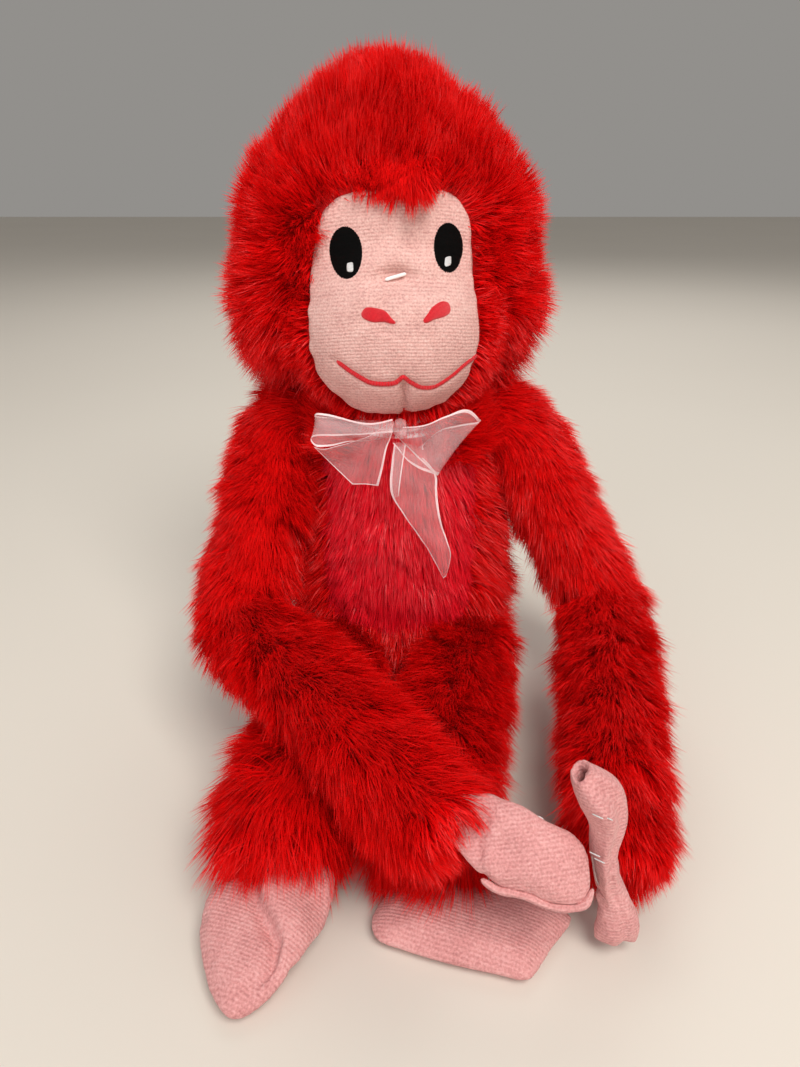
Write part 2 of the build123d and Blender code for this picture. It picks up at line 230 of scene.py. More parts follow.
class Look:
    """A Principled material, and the nodes that paint it."""

    def __init__(self, name, colour, roughness):
        self.made = bpy.data.materials.new(name)
        self.made.use_nodes = True
        self.nodes, self.links = self.made.node_tree.nodes, self.made.node_tree.links
        self.shader = self.nodes["Principled BSDF"]
        self.set(Base_Color=(*colour, 1.0), Roughness=roughness)

    def set(self, **values):
        """Sets the shader's own sockets."""
        set_sockets(self.shader, **values)

    def paint(self, colour):
        """Feeds a colour into the shader."""
        self.links.new(colour, self.shader.inputs["Base Color"])

    def own_place(self):
        """The piece's own coordinates."""
        return self.nodes.new("ShaderNodeTexCoord").outputs["Object"]

    def mapped_place(self, name):
        """The coordinates of one of the piece's maps."""
        node = self.nodes.new("ShaderNodeUVMap")
        node.uv_map = name
        return node.outputs["UV"]

    def mixed(self, factor, low, high):
        """A colour between two, by a factor socket."""
        mix = self.nodes.new("ShaderNodeMix")
        mix.data_type = "RGBA"
        mix.inputs["A"].default_value = (*low, 1.0)
        mix.inputs["B"].default_value = (*high, 1.0)
        self.links.new(factor, mix.inputs["Factor"])
        return mix.outputs["Result"]

    def ramp(self, factor, stops):
        """A colour ramp with stops of (place, colour)."""
        node = self.nodes.new("ShaderNodeValToRGB")
        elements = node.color_ramp.elements
        while len(elements) < len(stops):
            elements.new(0.5)
        for element, (place, colour) in zip(elements, stops):
            element.position = place
            element.color = (*colour, 1.0)
        self.links.new(factor, node.inputs["Fac"])
        return node.outputs["Color"]

    def noise(self, place, scale, detail=2.0):
        """A noise texture's value."""
        node = self.nodes.new("ShaderNodeTexNoise")
        set_sockets(node, Scale=scale, Detail=detail)
        self.links.new(place, node.inputs["Vector"])
        return node.outputs["Fac"]

    def wave(self, place, scale, direction="X", distortion=0.0, detail_scale=1.0):
        """A band texture's value."""
        node = self.nodes.new("ShaderNodeTexWave")
        node.bands_direction = direction
        set_sockets(node, Scale=scale, Distortion=distortion, Detail_Scale=detail_scale)
        self.links.new(place, node.inputs["Vector"])
        return node.outputs["Fac"]

    def math(self, operation, first, second):
        """One arithmetic step on sockets or numbers."""
        node = self.nodes.new("ShaderNodeMath")
        node.operation = operation
        for socket, value in zip(node.inputs, (first, second)):
            if isinstance(value, (int, float)):
                socket.default_value = value
            else:
                self.links.new(value, socket)
        return node.outputs[0]

    def raised(self, height, distance, strength=1.0):
        """Feeds a height into the shader's normal."""
        node = self.nodes.new("ShaderNodeBump")
        set_sockets(node, Distance=distance, Strength=strength)
        self.links.new(height, node.inputs["Height"])
        self.links.new(node.outputs["Normal"], self.shader.inputs["Normal"])


BANDS_PER_UNIT = 3.18  # what a wave texture draws in one unit of length at scale one


def bands(pitch_mm):
    """The wave texture's scale for bands this far apart, in millimetres."""
    return 1.0 / pitch_mm / BANDS_PER_UNIT


def pile_material(name, root, middle, tip, roughness, sheen):
    """Long pile: its map gives each strand's own random tone across and the way from root to tip upwards; the
    colour darkens at the root as painted shade deep in the pile and lightens at the tip as a painted highlight.
    """
    look = Look(name, middle, roughness)
    look.set(Sheen_Weight=sheen, Sheen_Roughness=0.4, Sheen_Tint=(1.0, 0.03, 0.03, 1.0))
    look.set(Specular_IOR_Level=0.28)
    split = look.nodes.new("ShaderNodeSeparateXYZ")
    look.links.new(look.mapped_place("OFBake"), split.inputs[0])
    # painted shade at the root, painted highlight at the tip
    along = look.ramp(split.outputs["Y"], [(0.0, root), (0.45, middle), (1.0, tip)])
    tints = [(0.0, (0.78, 0.6, 0.6)), (0.5, (0.95, 0.9, 0.9)), (1.0, (1.0, 1.3, 1.2))]
    shade = look.ramp(split.outputs["X"], tints)
    product = look.nodes.new("ShaderNodeMix")
    product.data_type = "RGBA"
    product.blend_type = "MULTIPLY"
    product.inputs["Factor"].default_value = 1.0
    look.links.new(along, product.inputs["A"])
    look.links.new(shade, product.inputs["B"])
    look.paint(product.outputs["Result"])
    return look.made


def rib_knit_material(name, deep, middle, pale, pitch_mm, depth):
    """Brushed pale pink rib knit: the map's V runs across the ribs, in millimetres."""
    look = Look(name, middle, 0.85)
    look.set(Sheen_Weight=0.15, Sheen_Roughness=0.5, Sheen_Tint=(1.0, 0.80, 0.78, 1.0))
    look.set(Specular_IOR_Level=0.2)
    look.set(Subsurface_Weight=0.12, Subsurface_Radius=(0.002, 0.0008, 0.0008))
    place = look.mapped_place("Cloth")
    body = look.own_place()
    ribs = look.wave(place, bands(pitch_mm), "Y", distortion=2.2, detail_scale=0.35)
    stitches = look.wave(place, bands(0.75), "X", distortion=2.5, detail_scale=1.5)
    fuzz = look.noise(body, 1500.0, 4.0)
    blotch = look.noise(body, 130.0, 3.0)
    total = look.math("MULTIPLY", ribs, depth)
    for part, share in ((stitches, 0.02), (fuzz, 0.92), (blotch, 0.32)):
        total = look.math("ADD", total, look.math("MULTIPLY", part, share))
    look.paint(look.ramp(total, [(0.38, deep), (0.70, middle), (0.98, pale)]))
    height = look.math("ADD", ribs, look.math("MULTIPLY", fuzz, 2.4))
    look.raised(height, 0.00016, 0.6)
    return look.made


def thread_material(name, dark, light, roughness, pitch_mm=0.35, sheen=0.2, gloss=0.3):
    """Satin stitch: fine parallel threads across the map's U, in millimetres."""
    look = Look(name, light, roughness)
    look.set(Sheen_Weight=sheen, Specular_IOR_Level=gloss)
    place = look.mapped_place("Cloth")
    threads = look.wave(place, bands(pitch_mm), "X", distortion=0.8, detail_scale=2.0)
    broken = look.noise(look.own_place(), 1500.0, 2.0)
    tone = look.math("MULTIPLY", threads, broken)
    look.paint(look.ramp(tone, [(0.05, dark), (0.45, light)]))
    look.raised(look.math("ADD", threads, broken), 0.00022, 1.0)
    return look.made


def organza_material(name, edge=False):
    """Sheer pink ribbon cloth, or its denser satin edge."""
    look = Look(name, (0.95, 0.66, 0.67), 0.3)
    look.set(Sheen_Weight=0.3, Specular_IOR_Level=0.6, Alpha=0.92 if edge else 0.21)
    place = look.mapped_place("Cloth")
    warp = look.wave(place, bands(0.45), "X", distortion=0.3)
    weft = look.wave(place, bands(0.45), "Y", distortion=0.3)
    weave = look.math("MAXIMUM", warp, weft)
    glint = look.noise(look.own_place(), 700.0, 2.0)
    tone = look.math("MULTIPLY", weave, glint)
    look.paint(look.ramp(tone, [(0.05, (0.90, 0.50, 0.53)), (0.40, (1.0, 0.82, 0.83))]))
    look.raised(weave, 0.00006, 0.6)
    return look.made


def plastic_material():
    """The white plastic of the tag fastener's bar."""
    look = Look("tag_plastic", (0.9, 0.9, 0.88), 0.35)
    mottle = look.noise(look.own_place(), 400.0)
    look.paint(look.mixed(mottle, (0.82, 0.82, 0.79), (0.95, 0.95, 0.94)))
    look.raised(mottle, 0.00005, 0.4)
    return look.made


def backing_material():
    """The knitted ground under the pile."""
    look = Look("red_backing", (0.3, 0.004, 0.004), 0.9)
    place = look.own_place()
    mottle = look.noise(place, 300.0)
    look.paint(look.mixed(mottle, (0.40, 0.001, 0.002), (0.80, 0.003, 0.004)))
    look.raised(look.noise(place, 900.0), 0.0004)
    return look.made


def label_material():
    """A blank woven care label."""
    look = Look("label_cloth", (0.9, 0.9, 0.88), 0.55)
    weave = look.wave(look.own_place(), 900.0, "Z", distortion=0.4)
    look.paint(look.mixed(weave, (0.74, 0.74, 0.72), (0.93, 0.93, 0.91)))
    look.raised(weave, 0.00005, 0.5)
    return look.made


# the root colours are darker as painted shade deep in the pile, the tip colours lighter as painted highlights
FUR = pile_material("long_pile", (0.72, 0.0, 0.001), (0.86, 0.001, 0.002), (0.95, 0.006, 0.005), 0.42, 0.15)
CHEST_PILE = pile_material("chest_pile", (0.6, 0.0, 0.006), (0.84, 0.002, 0.012), (0.98, 0.01, 0.03), 0.36, 0.04)
BACKING = backing_material()
KNIT = rib_knit_material(
    "face_rib_knit", (0.48, 0.23, 0.21), (0.74, 0.43, 0.39), (0.88, 0.61, 0.56), pitch_mm=1.1, depth=0.12
)
LIMB_KNIT = rib_knit_material(
    "limb_rib_knit", (0.46, 0.17, 0.17), (0.68, 0.31, 0.30), (0.82, 0.45, 0.44), pitch_mm=1.1, depth=0.12
)
BLACK = thread_material("black_thread", (4e-4, 4e-4, 4e-4), (0.004, 0.004, 0.004), 0.7, sheen=0.0, gloss=0.08)
WHITE = thread_material("white_thread", (0.75, 0.75, 0.75), (1.0, 1.0, 1.0), 0.5)
RED = thread_material("red_thread", (0.72, 0.004, 0.012), (1.0, 0.012, 0.030), 0.4)
ORGANZA = organza_material("organza")
SATIN_EDGE = organza_material("satin_edge", edge=True)
PLASTIC = plastic_material()
LABEL = label_material()


# ---- pile ----
STRAND_POINTS = 4
STRANDS_A_PIECE = 39000
FLOOR_GAP = 0.25


class Ground:
    """The cloth that pile grows from: triangles with a normal, a comb direction and a length at each corner."""

    def __init__(self):
        self.corners, self.normals, self.combs, self.lengths, self.weights = [], [], [], [], []

    def add(self, points, faces, comb, length, weight=1.0):
        """Adds a mesh; comb, length and weight are functions of its points, or plain values."""
        points = np.asarray(points, float)
        triangles = []
        for face in faces:
            for index in range(1, len(face) - 1):
                triangles.append((face[0], face[index], face[index + 1]))
        triangles = np.array(triangles)
        a, b, c = (points[triangles[:, k]] for k in range(3))
        area_normal = np.cross(b - a, c - a)
        normals = np.zeros_like(points)
        for k in range(3):
            np.add.at(normals, triangles[:, k], area_normal)
        normals = unit(normals)
        combs = comb(points, normals) if callable(comb) else np.tile(np.array(comb, float), (len(points), 1))
        lengths = length(points) if callable(length) else np.full(len(points), float(length))
        weights = weight(points) if callable(weight) else np.full(len(points), float(weight))
        self.corners.append(points[triangles])
        self.normals.append(normals[triangles])
        self.combs.append(combs[triangles])
        self.lengths.append(lengths[triangles])
        self.weights.append(weights[triangles])
        return self

    def sample(self, count, rng):
        """Roots spread evenly over the cloth, where its weight lets them grow."""
        corners = np.concatenate(self.corners)
        a, b, c = corners[:, 0], corners[:, 1], corners[:, 2]
        area = np.linalg.norm(np.cross(b - a, c - a), axis=1)
        weight = np.concatenate(self.weights).mean(1)
        chance = area * np.clip(weight, 0, None)
        pick = rng.choice(len(chance), size=count, p=chance / chance.sum())
        r = np.sqrt(rng.random(count))
        s = rng.random(count)
        share = np.stack([1 - r, r * (1 - s), r * s], 1)[:, :, None]
        root = (corners[pick] * share).sum(1)
        normal = unit((np.concatenate(self.normals)[pick] * share).sum(1))
        comb = (np.concatenate(self.combs)[pick] * share).sum(1)
        length = (np.concatenate(self.lengths)[pick] * share[:, :, 0]).sum(1)
        return root, normal, comb, length


def clumped(root, rng, per_clump):
    """The nearest of a few chosen roots to each root."""
    chosen = rng.choice(len(root), size=max(1, len(root) // per_clump), replace=False)
    tree = KDTree(len(chosen))
    for index, place in enumerate(root[chosen]):
        tree.insert(place, index)
    tree.balance()
    return chosen, np.array([tree.find(place)[1] for place in root])


def swirl(points, scale, seed):
    """Smooth noise with a direction."""
    return np.stack([wobble(points, scale, seed + k) for k in range(3)], 1)


def strands(ground, count, seed, width, lean, droop, gather, per_clump, rough=0.14, tuft=0.17):
    """Tapered strands as points (count, STRAND_POINTS, 3), with their widths, facings and shades."""
    rng = np.random.default_rng(seed)
    root, normal, comb, length = ground.sample(count, rng)
    locks, lock = clumped(root, rng, per_clump * 6)
    lock_tilt = (rng.normal(size=(len(locks), 3)) * tuft)[lock]
    lock_length = rng.uniform(0.88, 1.10, len(locks))[lock]
    chosen, clump = clumped(root, rng, per_clump)
    tufts = swirl(root[chosen], 17.0, seed + 7)
    clump_tilt = rng.normal(size=(len(chosen), 3)) * rough + 0.12 * tufts
    clump_length = rng.uniform(0.80, 1.12, len(chosen))
    clump_shade = rng.uniform(0.0, 1.0, len(chosen))
    upright = normal + 0.5 * lean * comb + clump_tilt[clump] + lock_tilt
    start = unit(upright + rng.normal(size=root.shape) * 0.15)
    bend = lean * comb * 0.75 + clump_tilt[clump] * 0.8 + rng.normal(size=root.shape) * 0.09
    bend[:, 2] -= droop
    length = length * clump_length[clump] * lock_length * rng.uniform(0.72, 1.06, count)
    t = np.linspace(0, 1, STRAND_POINTS)[None, :, None]
    reach = length[:, None, None]
    line = root[:, None] + reach * (t * start[:, None] + 0.5 * t**2 * bend[:, None])
    to_middle = root[chosen][clump] - root
    grow = gather * rng.uniform(0.6, 1.2, count)
    line = line + (t**1.6) * (to_middle * grow[:, None])[:, None]
    line = line + (t**2) * ((root[locks][lock] - root) * tuft)[:, None]
    steps = np.diff(line, axis=1)
    stretch = reach[:, 0] / np.maximum(np.linalg.norm(steps, axis=2).sum(1, keepdims=True), 1e-6)
    line = line[:, :1] + (line - line[:, :1]) * stretch[:, None]
    lying = FLOOR_GAP + 0.35 * rng.random((count, STRAND_POINTS))
    line[:, :, 2] = np.where(line[:, :, 2] < FLOOR_GAP, lying, line[:, :, 2])
    facing = unit(normal + rng.normal(size=root.shape) * 0.55)
    shade = np.clip(0.55 * clump_shade[clump] + 0.45 * rng.random(count), 0.02, 0.98)
    taper = np.array([0.8, 1.0, 0.7, 0.0])
    widths = width * taper[None, :] * rng.uniform(0.8, 1.25, count)[:, None]
    return line, widths, facing, shade


def strand_mesh(name, line, widths, facing, shade, made):
    """One mesh of flat tapered strands, with the map that its pile material reads."""
    count = len(line)
    tangent = unit(np.gradient(line, axis=1))
    side = unit(np.cross(tangent, facing[:, None]))
    half = side * widths[:, :, None] / 2
    pairs = STRAND_POINTS - 1
    left = line[:, :pairs] - half[:, :pairs]
    right = line[:, :pairs] + half[:, :pairs]
    body = np.stack([left, right], 2).reshape(count, 2 * pairs, 3)
    points = np.concatenate([body, line[:, -1:]], 1)
    per_strand = 2 * pairs + 1
    points = points.reshape(-1, 3) * MM
    quads = np.array([[2 * k, 2 * k + 1, 2 * k + 3, 2 * k + 2] for k in range(pairs - 1)])
    last = np.array([2 * pairs - 2, 2 * pairs - 1, 2 * pairs])
    corners = np.concatenate([quads.ravel(), last])
    loops = (corners[None] + per_strand * np.arange(count)[:, None]).ravel()
    sizes = np.tile(np.array([4] * len(quads) + [3]), count)
    starts = np.concatenate([[0], np.cumsum(sizes)[:-1]])
    mesh = bpy.data.meshes.new(name)
    mesh.vertices.add(len(points))
    mesh.vertices.foreach_set("co", points.astype(np.float32).ravel())
    mesh.loops.add(len(loops))
    mesh.loops.foreach_set("vertex_index", loops.astype(np.int32))
    mesh.polygons.add(len(sizes))
    mesh.polygons.foreach_set("loop_start", starts.astype(np.int32))
    mesh.update(calc_edges=True)
    mesh.shade_smooth()
    place = np.repeat(np.arange(pairs) / pairs, 2)
    v = np.concatenate([place, [0.995]])
    across = np.concatenate([np.tile([-0.006, 0.006], pairs), [0.0]])
    u = shade[:, None] + across[None]
    uv = np.stack([u, np.tile(v, (count, 1))], 2).reshape(-1, 2)
    layer = mesh.uv_layers.new(name="OFBake")
    layer.uv.foreach_set("vector", uv[loops].astype(np.float32).ravel())
    mesh.materials.append(made)
    obj = bpy.data.objects.new(name, mesh)
    bpy.context.scene.collection.objects.link(obj)
    return obj


def pile(name, ground, count, seed, attach, made=None, slot="red_plush", **style):
    """Pile over a ground, in as many pieces as its number of strands needs."""
    line, widths, facing, shade = strands(ground, count, seed, **style)
    pieces = max(1, math.ceil(count / STRANDS_A_PIECE))
    order = np.random.default_rng(seed + 1).permutation(count)
    for index, chosen in enumerate(np.array_split(order, pieces)):
        label = f"{name}_{index + 1}" if pieces > 1 else name
        obj = strand_mesh(label, line[chosen], widths[chosen], facing[chosen], shade[chosen], made or FUR)
        attach(obj)


LONG = dict(width=0.29, lean=0.55, droop=0.28, gather=0.34, per_clump=60)


def riding(body):
    """What fixes a piece to one body."""
    return lambda obj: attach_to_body(obj, body)


def bending():
    """What bakes a piece's place into its mesh, fixing it to no one body."""
    return lambda obj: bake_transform(obj)


# ---- head ----
def skull_depth(x, z, centre, radii):
    """How far back the front of an ellipsoid lies at x and z; beyond its rim it falls away."""
    q = ((x - centre[0]) / radii[0]) ** 2 + ((z - centre[2]) / radii[2]) ** 2
    inside = centre[1] - radii[1] * np.sqrt(np.clip(1 - q, 0, None))
    return np.where(q < 1, inside, centre[1] + (q - 1) * 20.0)


def face_depth(x, z):
    """The front of the head: skull and muzzle run into each other, with the face's dimples and folds."""
    a = skull_depth(x, z, SKULL_CENTRE, SKULL_RADII)
    b = skull_depth(x, z, MUZZLE_CENTRE, MUZZLE_RADII)
    h = np.clip(0.5 + 0.5 * (b - a) / MUZZLE_BLEND, 0, 1)
    depth = b * (1 - h) + a * h - MUZZLE_BLEND * h * (1 - h)
    bridge_x, bridge_z = -1.2, MUZZLE_CENTRE[2] + 19.0
    near = ((x - bridge_x) / 6.5) ** 2 + ((z - bridge_z) / 4.0) ** 2
    depth = depth + 4.4 * np.exp(-near)
    depth = depth + 2.2 * bump(x, bridge_x + 3.0, 19.0) * bump(z, bridge_z - 0.10 * np.abs(x - bridge_x), 2.8)
    crease = smooth_step(bridge_z - 3.0, bridge_z - 7.0, z) * (z > bridge_z - 16)
    depth = depth + 0.9 * bump(x, bridge_x - 4.0, 2.6) * crease
    for side_x in (-17.0, 15.5):
        depth = depth + 0.8 * bump(x, side_x, 9.0) * bump(z, SKULL_CENTRE[2] + 2.0, 10.0)
    chin = smooth_step(MUZZLE_CENTRE[2] - 11.0, MUZZLE_CENTRE[2] - 15.0, z)
    depth = depth + 3.2 * chin * bump(x, 1.4 - 0.04 * (z - 130.0), 1.1)
    depth = depth + 0.9 * bump(z, mouth_height(x), 1.4) * smooth_step(27.0, 20.0, np.abs(x - 2.0))
    depth = depth - 0.8 * bump(x, -8.0, 6.0) * bump(z, MUZZLE_CENTRE[2] - 16.0, 5.0)
    depth = depth - 0.8 * bump(x, 11.0, 6.0) * bump(z, MUZZLE_CENTRE[2] - 17.0, 5.0)
    return depth


MOUTH_POINTS = [
    (-20.5, -6.5), (-15.5, -10.0), (-10.0, -13.0), (-5.0, -13.5), (-1.5, -13.0), (1.0, -11.0),
    (3.5, -13.0), (7.0, -15.0), (11.5, -15.0), (17.0, -12.0), (21.0, -9.0), (25.5, -6.5),
]


def mouth_height(x):
    """The mouth line's height at x."""
    line = np.array(MOUTH_POINTS)
    return MUZZLE_CENTRE[2] + np.interp(x, line[:, 0], line[:, 1])


def on_face(x, z, lift=0.0):
    """Points on the face, lifted off it by some millimetres along its own normal."""
    x, z = np.asarray(x, float), np.asarray(z, float)
    step = 0.25
    y = face_depth(x, z)
    slope_x = (face_depth(x + step, z) - face_depth(x - step, z)) / (2 * step)
    slope_z = (face_depth(x, z + step) - face_depth(x, z - step)) / (2 * step)
    normal = unit(np.stack([slope_x, -np.ones_like(y), slope_z], -1))
    return np.stack([x, y, z], -1) + normal * np.asarray(lift)[..., None]


FACE_OUTLINE = [
    (-2.0, 193.5), (-13.0, 193.5), (-20.5, 191.0), (-26.5, 185.5), (-29.5, 177.0), (-31.0, 166.0),
    (-32.0, 154.0), (-32.0, 143.0), (-29.5, 133.0), (-24.5, 125.5), (-15.5, 119.5), (-3.0, 117.5),
    (9.0, 118.5), (18.0, 123.0), (24.5, 130.5), (27.5, 141.0), (28.0, 152.0), (26.0, 165.0),
    (25.0, 176.0), (23.0, 186.5), (16.5, 192.5), (8.0, 194.0),
]


def face_outline(samples=180):
    """The face panel's seam, seen from the front."""
    return closed_curve([(x, z + FACE_SHIFT) for x, z in FACE_OUTLINE], samples)


def make_face():
    """The knit face panel, which curls in at its seam."""
    flat, faces, share = polar_patch(face_outline(), 64, centre=(-2.0, 154.0))
    curl = smooth_step(0.91, 1.0, share)
    points = on_face(flat[:, 0], flat[:, 1], -5.0 * curl**2)
    outward = on_face(flat[:, 0], flat[:, 1], 1.0) - on_face(flat[:, 0], flat[:, 1], 0.0)
    ripple = wobble(points, 26.0, 5) * 0.22 + 0.35 * wobble(points, 7.0, 6) * bump(share, 0.93, 0.05)
    points = points + outward * ripple[:, None]
    below = smooth_step(122.0, 117.0, flat[:, 1])
    points[:, 1] += 2.0 * below
    uv = np.stack([flat[:, 0], flat[:, 1] + 0.004 * flat[:, 0] ** 2], 1)
    obj = new_mesh("face", points, faces, [KNIT], uv=uv)
    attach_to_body(obj, "head")
    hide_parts("face_panel")
    return obj


def muzzle_reach(direction):
    """How far the muzzle reaches from the skull's centre along each direction."""
    radii = MUZZLE_RADII - 1.8
    start = (SKULL_CENTRE - MUZZLE_CENTRE) / radii
    way = direction / radii
    a = (way * way).sum(1)
    b = (way * start).sum(1)
    c = (start * start).sum() - 1.0
    inner = b * b - a * c
    return np.where(inner > 0, (-b + np.sqrt(np.clip(inner, 0, None))) / a, 0.0)


FAR_BACK = 60.0  # stands for a distance from the face's seam on the back of the head


def make_skull():
    """The hood's cloth, open under the face panel, and how far each of its points is from the face's seam."""
    rows, columns = 96, 128
    polar = np.linspace(0.02, np.pi - 0.04, rows)
    turn = turns(columns)
    height = np.cos(polar)[:, None] * np.ones(columns)[None]
    level = np.sin(polar)[:, None]
    direction = np.stack([level * np.cos(turn), level * np.sin(turn), height], -1).reshape(-1, 3)
    skull_reach = 1 / np.linalg.norm(direction / (SKULL_RADII - 0.8), axis=1)
    points = SKULL_CENTRE + direction * np.maximum(skull_reach, muzzle_reach(direction))[:, None]
    points += direction * (0.6 * wobble(points, 45.0, 3))[:, None]
    above = smooth_step(16.0, 52.0, points[:, 2] - SKULL_CENTRE[2])
    points[:, 0] -= 0.26 * above * (points[:, 0] - SKULL_CENTRE[0])
    faces = grid_faces(rows, columns, wrap=True)
    outline = face_outline(120)
    middle = np.array([-2.0, 156.0 + FACE_SHIFT])
    angle = np.arctan2(outline[:, 1] - middle[1], outline[:, 0] - middle[0])
    reach = np.linalg.norm(outline - middle, axis=1)
    order = np.argsort(angle)
    own = np.arctan2(points[:, 2] - middle[1], points[:, 0] - middle[0])
    edge = np.interp(own, angle[order], reach[order], period=2 * np.pi)
    out = np.linalg.norm(points[:, [0, 2]] - middle, axis=1) - edge
    beside = points[:, 0] + 3.0
    cheek = smooth_step(0.0, -26.0, points[:, 2] - SKULL_CENTRE[2]) * smooth_step(4.0, 26.0, np.abs(beside))
    clear = smooth_step(2.0, 14.0, np.where(points[:, 1] < FACE_FRONT, out, FAR_BACK))
    points[:, 0] += 7.0 * cheek * clear * np.sign(beside)
    front = points[:, 1] < SKULL_CENTRE[1] - 8.0
    inside = front & (out < -6.0)
    kept = ~inside[faces].any(1)
    return points, faces[kept][:, ::-1], np.where(front, out, FAR_BACK)


def hood_comb(points, normals):
    """Pile on the head stands up, leans away from the face and falls at its sides."""
    relative = (points - SKULL_CENTRE) / SKULL_RADII
    comb = np.zeros_like(points)
    crown = smooth_step(0.10, 0.45, relative[:, 2])
    comb[:, 0] = (0.55 - 0.45 * crown) * relative[:, 0]
    comb[:, 1] = 0.35 * relative[:, 1]
    comb[:, 2] = 0.75 * relative[:, 2] + 0.95 * crown
    middle = np.array([-2.0, SKULL_CENTRE[2] - 16.0])
    inward = unit(middle - points[:, [0, 2]])
    rim = smooth_step(16.0, 2.0, points[:, 1] - SKULL_CENTRE[1] + 38.0)
    rim = rim * (points[:, 2] < SKULL_CENTRE[2] + 14.0)
    comb[:, 0] += 1.2 * rim * inward[:, 0]
    comb[:, 2] += 1.2 * rim * inward[:, 1]
    cheek = smooth_step(SKULL_CENTRE[2] - 10.0, SKULL_CENTRE[2] - 40.0, points[:, 2])
    comb[:, 2] -= 0.75 * cheek
    comb[:, 0] += 0.45 * cheek * np.sign(relative[:, 0])
    return fall(comb, normals)


def make_head_pile(points, faces, beyond):
    """Pile over the hood, shorter near the face's seam and longest at the cheeks."""

    def length(p):
        cover = smooth_step(-3.0, 9.0, beyond)
        top = smooth_step(20.0, 52.0, p[:, 2] - SKULL_CENTRE[2])
        side = bump(p[:, 2], SKULL_CENTRE[2] - 40.0, 22.0) * smooth_step(18.0, 34.0, np.abs(p[:, 0] + 3.0))
        return 6.6 + 5.8 * cover + 2.1 * top + 7.0 * side * cover

    weight = smooth_step(-3.0, -0.5, beyond) + 0.15 * (beyond > -2.5)
    skull = Ground().add(points, faces, hood_comb, length, lambda p: weight)
    style = {**LONG, "lean": 0.62, "droop": 0.06, "rough": 0.09, "tuft": 0.11}
    pile("head_pile", skull, 115000, 11, riding("head"), **style)


def make_forelock(points, faces):
    """Locks of long pile that fall over the top of the face and in from one temple."""
    style = dict(width=0.28, lean=0.9, droop=0.15, gather=0.6, per_clump=90, rough=0.12)

    def around(x, width, z, height):
        """Roots gathered about one place on the front of the hood."""
        return lambda p: bump(p[:, 0], x, width) * bump(p[:, 2], z, height) * (p[:, 1] < FACE_FRONT)

    lock = Ground().add(
        points,
        faces,
        (0.0, -0.55, -1.15),
        lambda p: 8.0 + 6.5 * bump(p[:, 0], 4.5, 4.0),
        around(-1.5, 8.5, 196.0 + FACE_SHIFT, 3.5),
    )
    pile("forelock_pile", lock, 3600, 17, riding("head"), **style)
    temple_place = around(-32.0, 3.5, SKULL_CENTRE[2] + 3.5, 4.0)
    temple = Ground().add(points, faces, (1.2, -0.5, -0.1), 8.5, temple_place)
    pile("temple_pile", temple, 700, 18, riding("head"), **style)


def stitched_patch(name, outline, made, slot, node, lift, rings=10, angle=0.0, jag=0.0, seed=1, base=0.0):
    """A raised patch of satin stitch that follows the face; `angle` turns its threads."""
    outline = np.array(outline, float)
    after = np.roll(outline, -1, axis=0)
    if (outline[:, 0] * after[:, 1] - after[:, 0] * outline[:, 1]).sum() < 0:
        outline = outline[::-1]
    rng = np.random.default_rng(seed)
    middle = outline.mean(0)
    flat, faces, share = polar_patch(outline, rings, centre=middle)
    push = jag * (np.arange(len(outline)) % 2 - 0.5) + rng.normal(size=len(outline)) * jag * 0.25
    push = np.concatenate([[0.0], np.tile(push, rings)]) * share**8
    flat = middle + (flat - middle) * (1 + push)[:, None]
    dome = np.sqrt(np.clip(1 - share**4, 0, 1))
    points = on_face(flat[:, 0], flat[:, 1], base - 0.35 + (lift + 0.35) * dome)
    turn = math.radians(angle)
    across = flat[:, 0] * math.sin(turn) + flat[:, 1] * math.cos(turn)
    along = flat[:, 0] * math.cos(turn) - flat[:, 1] * math.sin(turn)
    obj = new_mesh(name, points, faces, [made], uv=np.stack([across, along], 1))
    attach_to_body(obj, "head")
    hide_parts(node)
    return obj


def ellipse(centre, radii, tilt=0.0, samples=72, egg=0.0):
    """An ellipse's outline, tilted, and narrower at its top by `egg`."""
    turn = turns(samples)
    x = radii[0] * np.cos(turn) * (1 - egg * np.sin(turn))
    z = radii[1] * np.sin(turn)
    c, s = math.cos(math.radians(tilt)), math.sin(math.radians(tilt))
    return np.stack([centre[0] + c * x - s * z, centre[1] + s * x + c * z], 1)


EYES = {"right": (-17.2, 173.2, 5.8, 8.0, 3.0), "left": (15.6, 174.5, 5.1, 7.7, 5.0)}
NOSTRILS = {
    "right": [(-12.5, 156.0), (-11.0, 158.0), (-8.0, 158.0), (-4.5, 157.0), (-2.5, 155.0), (-1.0, 153.5),
              (-2.0, 153.0), (-5.0, 153.5), (-8.5, 153.5), (-11.5, 154.5)],
    "left": [(16.5, 157.0), (15.5, 159.0), (13.0, 159.5), (10.0, 158.0), (8.5, 156.0), (7.0, 154.0),
             (8.0, 153.0), (11.0, 154.0), (14.0, 154.5), (16.0, 155.5)],
}


